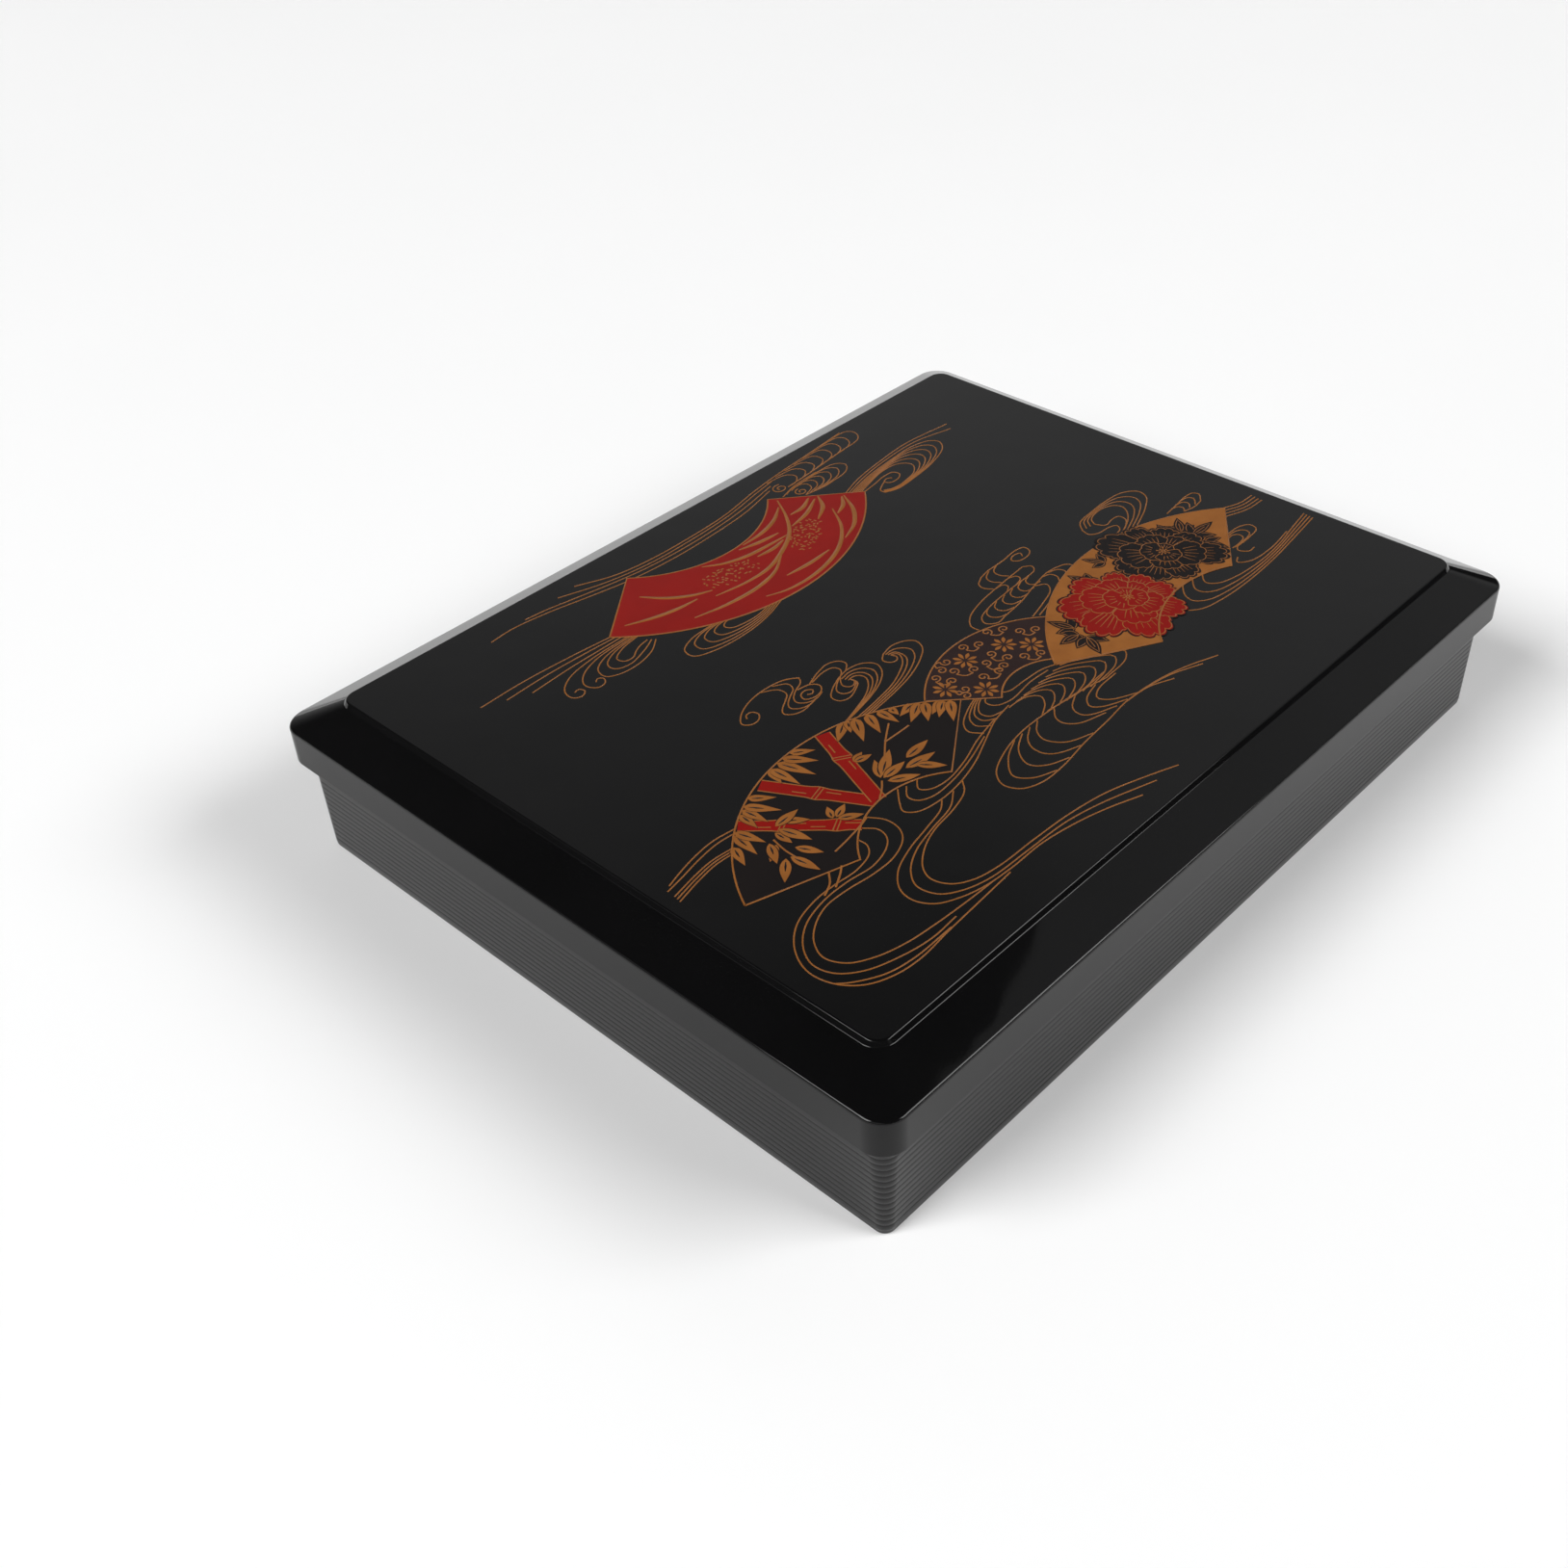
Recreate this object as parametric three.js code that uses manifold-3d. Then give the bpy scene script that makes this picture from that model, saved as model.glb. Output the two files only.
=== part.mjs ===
// A large lidded bento box: a ribbed base, a lift-off lid with a raised panel,
// two half-lapped dividers and four lift-out trays. Millimetres, +Z up, origin at the bottom centre.
import * as THREE from 'three';
import { mergeVertices } from 'three/addons/utils/BufferGeometryUtils.js';
import Module from 'manifold-3d';

const wasm = await Module();
wasm.setup();

// Overall size, lid on
const LENGTH = 302;
const WIDTH = 240;
const HEIGHT = 55;

// Clearances
const REST_GAP = 0.3;
const LID_SIDE_CLEARANCE = 0.6;
const LAP_CLEARANCE = 0.3;
const DIVIDER_END_CLEARANCE = 0.4;
const TRAY_SIDE_CLEARANCE = 0.8;
const STACK_CLEARANCE = 0.7;

// Lid
const LID_WALL = 2.6;
const LID_CORNER_RADIUS = 8;
const SKIRT_HEIGHT = 11.7;
const SHOULDER_RADIUS = 1.0;
const SLOPE_RISE = 6.8;
const PANEL_INSET = 14.2;
const PANEL_STEP = 1.4;
const PANEL_EDGE_RADIUS = 0.6;
const PANEL_CORNER_RADIUS = 4.5;
const PANEL_THICKNESS = 2.4;
const SEAT_ROOF = 2.4;

// Base
const BASE_WALL = 2.4;
const BASE_FLOOR = 2.4;
const BASE_CORNER_RADIUS = 5;
const BASE_DRAFT = 0.8;
const BOTTOM_EDGE_RADIUS = 1.6;
const FOOT_RECESS = 1.0;
const RIM_BAND_PROUD = 0.8;
const RIM_BAND_SETBACK = 2;
const RIB_PITCH = 2.1;
const RIB_DEPTH = 0.4;
const RIB_CREST = 0.9;

// Dividers
const DIVIDER_THICKNESS = 2.6;
const DIVIDER_DROP = 3.6;
const GROOVE_DEPTH = 1.0;

// Trays
const TRAY_WALL = 2.0;
const TRAY_FLOOR = 2.0;
const TRAY_DROP = 3.5;
const TRAY_DRAFT = 1.6;
const TRAY_CORNER_RADIUS = 10;
const TRAY_EDGE_RADIUS = 3;
const PARTITION_THICKNESS = 2.0;
const PARTITION_DROP = 5;

// Facets: a corner has twice CORNER_STEPS, a rounded edge has EDGE_STEPS
const CORNER_STEPS = 3;
const EDGE_STEPS = 3;

// Heights worked out from the sizes above
const SHOULDER_Z = HEIGHT - PANEL_STEP - SLOPE_RISE;
const SKIRT_Z = SHOULDER_Z - SKIRT_HEIGHT;
const SEAT_Z = SHOULDER_Z - SEAT_ROOF;
const RIM_Z = SEAT_Z - REST_GAP;
const FLOOR_Z = FOOT_RECESS + BASE_FLOOR;
const DIVIDER_BOTTOM_Z = FLOOR_Z + REST_GAP;
const DIVIDER_TOP_Z = RIM_Z - DIVIDER_DROP;
const LAP_Z = (DIVIDER_BOTTOM_Z + DIVIDER_TOP_Z) / 2;
const TRAY_BOTTOM_Z = FLOOR_Z + REST_GAP;
const TRAY_RIM_Z = DIVIDER_TOP_Z - TRAY_DROP;

// The skirt stands out past the ribbed wall by what lies between their faces
const LID_OVERHANG = LID_WALL + LID_SIDE_CLEARANCE + RIM_BAND_PROUD;

const outerInset = (z) => LID_OVERHANG + BASE_DRAFT * (1 - z / SKIRT_Z);
const innerInset = (z) => outerInset(z) + BASE_WALL;

const lacquer = (color, roughness) => new THREE.MeshStandardMaterial({ color, roughness, metalness: 0 });
const blackLacquer = () => lacquer(0x141416, 0.2);
const vermilionLacquer = () => lacquer(0xa8231a, 0.35);

// Points of a rounded rectangle, anticlockwise from above
function outline(length, width, radius) {
  const x = length / 2 - radius;
  const y = width / 2 - radius;
  const shape = new THREE.Shape();
  shape.absarc(x, y, radius, 0, Math.PI / 2);
  shape.absarc(-x, y, radius, Math.PI / 2, Math.PI);
  shape.absarc(-x, -y, radius, Math.PI, 1.5 * Math.PI);
  shape.absarc(x, -y, radius, 1.5 * Math.PI, 2 * Math.PI);
  return shape.getPoints(CORNER_STEPS);
}

// A closed skin through rounded rectangles, from the underside cap, round the outside, to the upper cap
function loft(stations, length, width) {
  const rings = stations.map(({ inset, z, radius }) => (
    outline(length - 2 * inset, width - 2 * inset, radius).map((point) => [point.x, point.y, z])
  ));
  const count = rings[0].length;
  const last = (rings.length - 1) * count;
  const triangles = [];
  for (let start = 0; start < last; start += count) {
    for (let i = 0; i < count; i += 1) {
      const a = start + i;
      const b = start + (i + 1) % count;
      triangles.push(a, b, b + count, a, b + count, a + count);
    }
  }
  for (let i = 1; i + 1 < count; i += 1) {
    triangles.push(0, i + 1, i, last, last + i, last + i + 1);
  }
  const geometry = new THREE.BufferGeometry();
  geometry.setAttribute('position', new THREE.Float32BufferAttribute(rings.flat(2), 3));
  geometry.setIndex(triangles);
  geometry.computeVertexNormals();
  return geometry;
}

// Points of a rounded edge about (inset, z), from one angle to another in degrees; 0 degrees points inwards
function round(inset, z, radius, from, to) {
  return Array.from({ length: EDGE_STEPS + 1 }, (_, i) => {
    const angle = THREE.MathUtils.degToRad(from + (to - from) * i / EDGE_STEPS);
    return { inset: inset + radius * Math.cos(angle), z: z + radius * Math.sin(angle) };
  });
}

function toSolid(geometry) {
  const bare = geometry.clone();
  bare.deleteAttribute('normal');
  bare.deleteAttribute('uv');
  const merged = mergeVertices(bare);
  const vertProperties = new Float32Array(merged.attributes.position.array);
  const triVerts = new Uint32Array(merged.index.array);
  return new wasm.Manifold(new wasm.Mesh({ numProp: 3, vertProperties, triVerts }));
}

function toGeometry(solid) {
  const { vertProperties, triVerts } = solid.getMesh();
  const geometry = new THREE.BufferGeometry();
  geometry.setAttribute('position', new THREE.BufferAttribute(vertProperties, 3));
  geometry.setIndex(new THREE.BufferAttribute(triVerts, 1));
  geometry.computeVertexNormals();
  return geometry;
}

function named(name, geometry, material) {
  const mesh = new THREE.Mesh(geometry, material);
  mesh.name = name;
  return mesh;
}

function makeLid() {
  const slopeAngle = THREE.MathUtils.radToDeg(Math.atan2(SLOPE_RISE, PANEL_INSET));
  const panelUnderside = HEIGHT - PANEL_THICKNESS;
  const innerCorner = LID_CORNER_RADIUS - LID_WALL;
  const seatInset = LID_OVERHANG + BASE_WALL;
  const stations = [
    { inset: PANEL_INSET + LID_WALL / 2, z: panelUnderside, radius: PANEL_CORNER_RADIUS },
    { inset: seatInset, z: SEAT_Z, radius: innerCorner },
    { inset: LID_WALL, z: SEAT_Z, radius: innerCorner },
    { inset: LID_WALL, z: SKIRT_Z, radius: innerCorner },
    { inset: 0, z: SKIRT_Z, radius: LID_CORNER_RADIUS },
  ];
  const shoulder = round(SHOULDER_RADIUS, SHOULDER_Z, SHOULDER_RADIUS, 180, 90 + slopeAngle);
  stations.push(...shoulder.map((point) => ({ ...point, radius: LID_CORNER_RADIUS })));
  const edgeInset = PANEL_INSET + PANEL_EDGE_RADIUS;
  const panel = [
    { inset: PANEL_INSET - PANEL_EDGE_RADIUS, z: HEIGHT - PANEL_STEP },
    ...round(edgeInset, HEIGHT - PANEL_EDGE_RADIUS, PANEL_EDGE_RADIUS, 180, 90),
  ];
  stations.push(...panel.map((point) => ({ ...point, radius: PANEL_CORNER_RADIUS })));
  return named('lid', loft(stations, LENGTH, WIDTH), blackLacquer());
}

// The ribbed wall, from the bottom edge up to the rim band
function ribStations() {
  const bottom = BOTTOM_EDGE_RADIUS;
  const top = SKIRT_Z + RIM_BAND_SETBACK;
  const count = Math.floor((top - bottom) / RIB_PITCH);
  const stations = [];
  for (let i = 0; i < count; i += 1) {
    const groove = bottom + i * RIB_PITCH;
    const crest = groove + (RIB_PITCH - RIB_CREST) / 2;
    stations.push({ inset: outerInset(groove) + RIB_DEPTH, z: groove });
    stations.push({ inset: outerInset(crest), z: crest });
    stations.push({ inset: outerInset(crest), z: crest + RIB_CREST });
  }
  stations.push({ inset: outerInset(top) + RIB_DEPTH, z: top });
  return stations;
}

function boardShape(halfLengthAt, bottom, top) {
  const shape = new THREE.Shape();
  shape.moveTo(-halfLengthAt(bottom), bottom);
  shape.lineTo(halfLengthAt(bottom), bottom);
  shape.lineTo(halfLengthAt(top), top);
  shape.lineTo(-halfLengthAt(top), top);
  shape.closePath();
  return shape;
}

// A shape drawn as length and height, given a thickness and stood upright along X
function upright(shape, thickness) {
  const geometry = new THREE.ExtrudeGeometry(shape, { depth: thickness, bevelEnabled: false });
  geometry.translate(0, 0, -thickness / 2);
  return geometry.rotateX(Math.PI / 2);
}

// What the end of a divider needs in the base wall, from just over the floor to past the rim
function grooveCut(side) {
  const halfLengthAt = (z) => side / 2 - innerInset(z) + GROOVE_DEPTH;
  const shape = boardShape(halfLengthAt, FLOOR_Z + REST_GAP / 2, RIM_Z + GROOVE_DEPTH);
  return upright(shape, DIVIDER_THICKNESS + 2 * LAP_CLEARANCE);
}

function makeBase() {
  const recessInset = PANEL_INSET - STACK_CLEARANCE;
  const bandInset = LID_WALL + LID_SIDE_CLEARANCE;
  const bandBottom = SKIRT_Z + RIM_BAND_SETBACK;
  const innerCorner = BASE_CORNER_RADIUS - BASE_WALL;
  const footInset = outerInset(0) + RIB_DEPTH + BOTTOM_EDGE_RADIUS;
  const bottomEdge = round(footInset, BOTTOM_EDGE_RADIUS, BOTTOM_EDGE_RADIUS, 270, 180).slice(0, -1);
  const recessCorner = PANEL_CORNER_RADIUS + STACK_CLEARANCE;
  const bandCorner = LID_CORNER_RADIUS - LID_WALL - LID_SIDE_CLEARANCE;
  const recess = [FOOT_RECESS, 0].map((z) => ({ inset: recessInset, z, radius: recessCorner }));
  const wall = [...bottomEdge, ...ribStations()].map((point) => ({ ...point, radius: BASE_CORNER_RADIUS }));
  const band = [bandBottom + RIM_BAND_PROUD, RIM_Z].map((z) => ({ inset: bandInset, z, radius: bandCorner }));
  const inside = [RIM_Z, FLOOR_Z].map((z) => ({ inset: innerInset(z), z, radius: innerCorner }));
  const shell = toSolid(loft([...recess, ...wall, ...band, ...inside], LENGTH, WIDTH));
  const longGroove = toSolid(grooveCut(LENGTH));
  const crossGroove = toSolid(grooveCut(WIDTH).rotateZ(Math.PI / 2));
  return named('base_box', toGeometry(shell.subtract(longGroove).subtract(crossGroove)), blackLacquer());
}

// A divider with a slot at its middle, cut from the top edge or from the bottom edge
function dividerShape(side, slotFromTop) {
  const halfLengthAt = (z) => side / 2 - innerInset(z) + GROOVE_DEPTH - DIVIDER_END_CLEARANCE;
  const halfSlot = DIVIDER_THICKNESS / 2 + LAP_CLEARANCE;
  const slotEnd = slotFromTop ? LAP_Z - REST_GAP / 2 : LAP_Z + REST_GAP / 2;
  const slotMouth = slotFromTop ? DIVIDER_TOP_Z : DIVIDER_BOTTOM_Z;
  const far = slotFromTop ? DIVIDER_BOTTOM_Z : DIVIDER_TOP_Z;
  const shape = new THREE.Shape();
  shape.moveTo(-halfLengthAt(far), far);
  shape.lineTo(halfLengthAt(far), far);
  shape.lineTo(halfLengthAt(slotMouth), slotMouth);
  shape.lineTo(halfSlot, slotMouth);
  shape.lineTo(halfSlot, slotEnd);
  shape.lineTo(-halfSlot, slotEnd);
  shape.lineTo(-halfSlot, slotMouth);
  shape.lineTo(-halfLengthAt(slotMouth), slotMouth);
  shape.closePath();
  return shape;
}

function makeDividers() {
  const longBoard = upright(dividerShape(LENGTH, true), DIVIDER_THICKNESS);
  const crossBoard = upright(dividerShape(WIDTH, false), DIVIDER_THICKNESS);
  const long = named('long_divider', longBoard, blackLacquer());
  const cross = named('cross_divider', crossBoard, blackLacquer());
  cross.rotation.z = Math.PI / 2;
  return [long, cross];
}

// One cell of the divided base, measured at the trays' rims
const cellSize = (side) => side / 2 - innerInset(TRAY_RIM_Z) - DIVIDER_THICKNESS / 2;
const cellCentre = (side) => DIVIDER_THICKNESS / 2 + cellSize(side) / 2;

// How far the draft brings a tray's wall in at a height
const trayInset = (z) => TRAY_DRAFT * (TRAY_RIM_Z - z) / (TRAY_RIM_Z - TRAY_BOTTOM_Z - TRAY_EDGE_RADIUS);

// An upright partition across a tray, rooted in its walls and floor
function makePartition(trayWidth, x) {
  const halfLengthAt = (z) => trayWidth / 2 - trayInset(z) - TRAY_WALL / 2;
  const shape = boardShape(halfLengthAt, TRAY_BOTTOM_Z + TRAY_FLOOR / 2, TRAY_RIM_Z - PARTITION_DROP);
  return upright(shape, PARTITION_THICKNESS).rotateZ(Math.PI / 2).translate(x, 0, 0);
}

// A tray for the cell at the given signs of X and Y, parted into wells along its length
function makeTray(name, signX, signY, wells) {
  const length = cellSize(LENGTH) - 2 * TRAY_SIDE_CLEARANCE;
  const width = cellSize(WIDTH) - 2 * TRAY_SIDE_CLEARANCE;
  const innerCorner = TRAY_CORNER_RADIUS - TRAY_WALL;
  const wellFloor = TRAY_BOTTOM_Z + TRAY_FLOOR;
  const edgeInset = TRAY_DRAFT + TRAY_EDGE_RADIUS;
  const edge = round(edgeInset, TRAY_BOTTOM_Z + TRAY_EDGE_RADIUS, TRAY_EDGE_RADIUS, 270, 180);
  const stations = edge.map((point) => ({ ...point, radius: TRAY_CORNER_RADIUS }));
  stations.push({ inset: 0, z: TRAY_RIM_Z, radius: TRAY_CORNER_RADIUS });
  stations.push({ inset: TRAY_WALL, z: TRAY_RIM_Z, radius: innerCorner });
  const innerEdge = TRAY_EDGE_RADIUS - TRAY_WALL / 2;
  const bowl = round(TRAY_DRAFT + TRAY_WALL + innerEdge, wellFloor + innerEdge, innerEdge, 180, 270);
  stations.push(...bowl.map((point) => ({ ...point, radius: innerCorner })));
  let tray = toSolid(loft(stations, length, width));
  const wellPitch = (length - TRAY_WALL) / wells;
  for (let i = 1; i < wells; i += 1) {
    tray = tray.add(toSolid(makePartition(width, (i - wells / 2) * wellPitch)));
  }
  const mesh = named(name, toGeometry(tray), vermilionLacquer());
  mesh.position.set(signX * cellCentre(LENGTH), signY * cellCentre(WIDTH), 0);
  return mesh;
}

const bentoBox = new THREE.Group();
bentoBox.add(makeBase(), ...makeDividers());
bentoBox.add(makeTray('rice_tray', -1, -1, 1), makeTray('main_dish_tray', 1, -1, 1));
bentoBox.add(makeTray('side_dish_tray', -1, 1, 2), makeTray('pickle_tray', 1, 1, 3));
bentoBox.add(makeLid());

export default bentoBox;
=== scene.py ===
"""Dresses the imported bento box: lacquered shells, dividers, trays and the print on the lid's panel.

Sizes in the classes are millimetres. Meshes are metres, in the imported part's own frame.
"""

import logging
import math
import random
from collections.abc import Sequence
from dataclasses import dataclass, field, replace
from enum import Enum, IntEnum
from typing import Any

import bmesh
import bpy
from bpy.types import Material, Mesh, Node, NodeSocket, NodeTree, Object
from mathutils import Matrix, Vector


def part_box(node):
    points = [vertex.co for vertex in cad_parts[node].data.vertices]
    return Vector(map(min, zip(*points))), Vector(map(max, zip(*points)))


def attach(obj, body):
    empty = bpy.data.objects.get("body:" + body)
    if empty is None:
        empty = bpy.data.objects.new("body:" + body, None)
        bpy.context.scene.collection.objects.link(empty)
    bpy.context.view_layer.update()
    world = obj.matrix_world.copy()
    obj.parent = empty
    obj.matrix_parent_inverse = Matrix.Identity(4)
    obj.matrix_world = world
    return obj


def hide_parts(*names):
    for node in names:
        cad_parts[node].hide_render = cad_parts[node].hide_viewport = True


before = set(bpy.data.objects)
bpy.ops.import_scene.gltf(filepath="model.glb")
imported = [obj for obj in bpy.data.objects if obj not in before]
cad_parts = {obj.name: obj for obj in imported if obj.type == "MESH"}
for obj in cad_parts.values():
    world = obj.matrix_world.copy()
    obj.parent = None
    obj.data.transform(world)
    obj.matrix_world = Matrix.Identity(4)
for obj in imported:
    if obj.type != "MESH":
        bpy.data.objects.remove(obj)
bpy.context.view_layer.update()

LOG = logging.getLogger("bento_box")
MM = 0.001
SHARP_ANGLE = math.radians(50)
TAIL_LOSS = 0.6
LEAF_TIP = 0.2

Point = tuple[float, float]
Path = list[Point]
Colour = tuple[float, float, float]
Direction = tuple[float, float, float]


class Socket(Enum):
    """The kinds of socket that a node tree takes and gives."""

    FLOAT = "NodeSocketFloat"
    COLOUR = "NodeSocketColor"
    GEOMETRY = "NodeSocketGeometry"
    MATERIAL = "NodeSocketMaterial"


class Zone(IntEnum):
    """Which lacquer a band of a shell takes."""

    OUTSIDE = 0
    INSIDE = 1


class Ink(Enum):
    """The inks of the print."""

    GOLD = "gold"
    RED = "red"
    DARK = "dark"
    PLUM = "plum"

    @property
    def slot(self) -> str:
        """The record's material slot."""
        return "dark_print" if self is Ink.PLUM else self.value + "_print"


class Brush(Enum):
    """How the width of a printed line runs from its start to its end."""

    EVEN = "even"
    TAIL = "tail"
    LEAF = "leaf"

    def share(self, t: float) -> float:
        """Says how wide a line is along its length.

        Args:
            t: How far along the line, from 0 to 1.

        Returns:
            The width as a share of the greatest one.
        """
        if self is Brush.TAIL:
            return 1 - TAIL_LOSS * t**2
        if self is Brush.LEAF:
            return LEAF_TIP + (1 - LEAF_TIP) * math.sin(math.pi * (0.05 + 0.9 * t))
        return 1.0


class NodeBuilder:
    """Adds nodes to a tree and wires them, so that a tree reads as a list of steps."""

    def __init__(self, tree: NodeTree) -> None:
        """Keeps the tree that the nodes go into."""
        self.tree = tree

    def add(self, kind: str, inputs: dict[Any, Any] | None = None, **settings: Any) -> Node:
        """Adds one node.

        Args:
            kind: The node's type name.
            inputs: For a socket's name or number, a value, or an output socket to link.
            settings: Properties of the node itself.

        Returns:
            The new node.
        """
        node = self.tree.nodes.new(kind)
        for name, value in settings.items():
            setattr(node, name, value)
        for key, value in (inputs or {}).items():
            if isinstance(value, NodeSocket):
                self.tree.links.new(value, node.inputs[key])
            else:
                node.inputs[key].default_value = value
        return node

    def math(self, operation: str, first: Any, second: Any = 0.0) -> NodeSocket:
        """Adds a Math node and returns its output."""
        return self.add("ShaderNodeMath", {0: first, 1: second}, operation=operation).outputs[0]

    def vector(self, operation: str, inputs: dict[Any, Any]) -> NodeSocket:
        """Adds a Vector Math node and returns its vector."""
        return self.add("ShaderNodeVectorMath", inputs, operation=operation).outputs[0]

    def rise(self, value: NodeSocket, start: Any, end: Any) -> NodeSocket:
        """Adds a smooth step of a value, from 0 at the start to 1 at the end."""
        span = {"Value": value, "From Min": start, "From Max": end}
        return self.add("ShaderNodeMapRange", span, interpolation_type="SMOOTHSTEP").outputs[0]

    def noise(self, scale: Any, detail: float, roughness: float = 0.5) -> NodeSocket:
        """Adds a noise on Object coordinates.

        Args:
            scale: How many patches to the metre, or a socket that says so.
            detail: How many finer layers it has.
            roughness: How strong each finer layer is.

        Returns:
            The noise's value.
        """
        place = self.add("ShaderNodeTexCoord").outputs["Object"]
        values = {"Vector": place, "Scale": scale, "Detail": detail, "Roughness": roughness}
        return self.add("ShaderNodeTexNoise", values).outputs[0]

    def sockets(self, inputs: dict[str, Socket], output: str, kind: Socket) -> Any:
        """Gives the tree its interface.

        Args:
            inputs: The kind of each named input.
            output: The output's name.
            kind: The output's kind.

        Returns:
            The inputs, as sockets inside the tree.
        """
        for name, input_kind in inputs.items():
            self.tree.interface.new_socket(name, in_out="INPUT", socket_type=input_kind.value)
        self.tree.interface.new_socket(output, in_out="OUTPUT", socket_type=kind.value)
        return self.add("NodeGroupInput").outputs

    def dress(self, geometry: NodeSocket, material: NodeSocket) -> NodeSocket:
        """Makes instances real and gives the whole geometry a material."""
        whole = self.add("GeometryNodeRealizeInstances", {"Geometry": geometry}).outputs[0]
        return self.add("GeometryNodeSetMaterial", {"Geometry": whole, "Material": material}).outputs[0]


def new_object(name: str, mesh: Mesh) -> Object:
    """Links a mesh to the scene as an object at the origin.

    Args:
        name: The object's name.
        mesh: Its mesh.

    Returns:
        The new object.
    """
    obj = bpy.data.objects.new(name, mesh)
    bpy.context.scene.collection.objects.link(obj)
    return obj


def close_work(work: bmesh.types.BMesh, name: str) -> Mesh:
    """Writes an edited mesh out and frees it.

    Args:
        work: The mesh in work.
        name: The new mesh's name.

    Returns:
        The new mesh.
    """
    mesh = bpy.data.meshes.new(name)
    work.to_mesh(mesh)
    work.free()
    return mesh


def ring_faces(rings: int, count: int) -> list[tuple[int, ...]]:
    """Joins rings of points that follow each other.

    Args:
        rings: How many rings.
        count: How many points each ring has.

    Returns:
        The points of each four-sided face, which looks outward if the rings rise anticlockwise.
    """
    made = []
    for low in range(0, (rings - 1) * count, count):
        for i in range(count):
            j = (i + 1) % count
            made.append((low + i, low + j, low + count + j, low + count + i))
    return made


def bake(obj: Object) -> Object:
    """Gives an object its evaluated result as a plain mesh and removes its modifiers.

    Args:
        obj: A mesh object with live modifiers.

    Returns:
        The same object.
    """
    graph = bpy.context.evaluated_depsgraph_get()
    source = obj.evaluated_get(graph)
    mesh = bpy.data.meshes.new_from_object(source, preserve_all_data_layers=True, depsgraph=graph)
    mesh.name = obj.name
    spent = obj.data
    obj.modifiers.clear()
    obj.data = mesh
    bpy.data.meshes.remove(spent)
    return obj


def even_normals(obj: Object) -> None:
    """Smooths the rounded edges and keeps the flats flat, by normals weighted with face area.

    Args:
        obj: The object to shade.
    """
    obj.data.shade_smooth()
    obj.data.set_sharp_from_angle(angle=SHARP_ANGLE)
    weighted = obj.modifiers.new("flat faces", "WEIGHTED_NORMAL")
    weighted.weight = 100
    weighted.keep_sharp = True


def run_tree(obj: Object, tree: NodeTree, values: dict[str, Any]) -> None:
    """Puts a geometry node tree on an object and sets the tree's named inputs.

    Args:
        obj: The object to shape.
        tree: The geometry node tree.
        values: A value for each input's name.
    """
    modifier = obj.modifiers.new(tree.name, "NODES")
    modifier.node_group = tree
    for item in tree.interface.items_tree:
        if item.in_out == "INPUT" and item.name in values:
            modifier[item.identifier] = values[item.name]


def hand_over(obj: Object, body: str, slot: str, *nodes: str) -> None:
    """Makes a finished piece ride on a body.

    Args:
        obj: The piece.
        body: The body that it moves with.
        slot: The record's material slot; not used.
        nodes: The CAD nodes that it stands for.
    """
    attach(obj, body)
    if nodes:
        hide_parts(*nodes)
    LOG.info("%s: %d faces, rides on %s", obj.name, len(obj.data.polygons), body)


class SurfaceEffects:
    """Shader node groups that several finishes share."""

    def __init__(self) -> None:
        """Builds each group once."""
        self.drift = self._drift()
        self.smudge = self._smudge()
        self.peel = self._peel()

    @staticmethod
    def _drift() -> NodeTree:
        """Makes a colour that wanders slowly between two tones.

        Returns:
            The node group.
        """
        build = NodeBuilder(bpy.data.node_groups.new("tone drift", "ShaderNodeTree"))
        inputs = {"Tone": Socket.COLOUR, "Undertone": Socket.COLOUR, "Scale": Socket.FLOAT}
        given = build.sockets(inputs, "Color", Socket.COLOUR)
        span = {"Value": build.noise(given["Scale"], 3.0), "From Min": 0.3, "From Max": 0.7}
        share = build.add("ShaderNodeMapRange", span).outputs[0]
        tones = {0: share, 6: given["Tone"], 7: given["Undertone"]}
        mix = build.add("ShaderNodeMix", tones, data_type="RGBA")
        build.add("NodeGroupOutput", {"Color": mix.outputs[2]})
        return build.tree

    @staticmethod
    def _smudge() -> NodeTree:
        """Makes a roughness that rises in soft patches, as handling leaves on gloss.

        Returns:
            The node group.
        """
        build = NodeBuilder(bpy.data.node_groups.new("handling smudge", "ShaderNodeTree"))
        inputs = dict.fromkeys(("Clean", "Handled", "Scale"), Socket.FLOAT)
        given = build.sockets(inputs, "Roughness", Socket.FLOAT)
        span = {"Value": build.noise(given["Scale"], 5.0, 0.6), "From Min": 0.4, "From Max": 0.75}
        span |= {"To Min": given["Clean"], "To Max": given["Handled"]}
        rough = build.add("ShaderNodeMapRange", span)
        build.add("NodeGroupOutput", {"Roughness": rough.outputs[0]})
        return build.tree

    @staticmethod
    def _peel() -> NodeTree:
        """Makes the height of a sprayed skin: fine orange peel on a slow wave.

        Returns:
            The node group.
        """
        build = NodeBuilder(bpy.data.node_groups.new("sprayed skin", "ShaderNodeTree"))
        inputs = dict.fromkeys(("Fine Scale", "Wave Scale", "Fine Share"), Socket.FLOAT)
        given = build.sockets(inputs, "Height", Socket.FLOAT)
        wave = build.noise(given["Wave Scale"], 0.0)
        fine = build.math("MULTIPLY", build.noise(given["Fine Scale"], 1.0), given["Fine Share"])
        build.add("NodeGroupOutput", {"Height": build.math("ADD", wave, fine)})
        return build.tree


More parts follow.
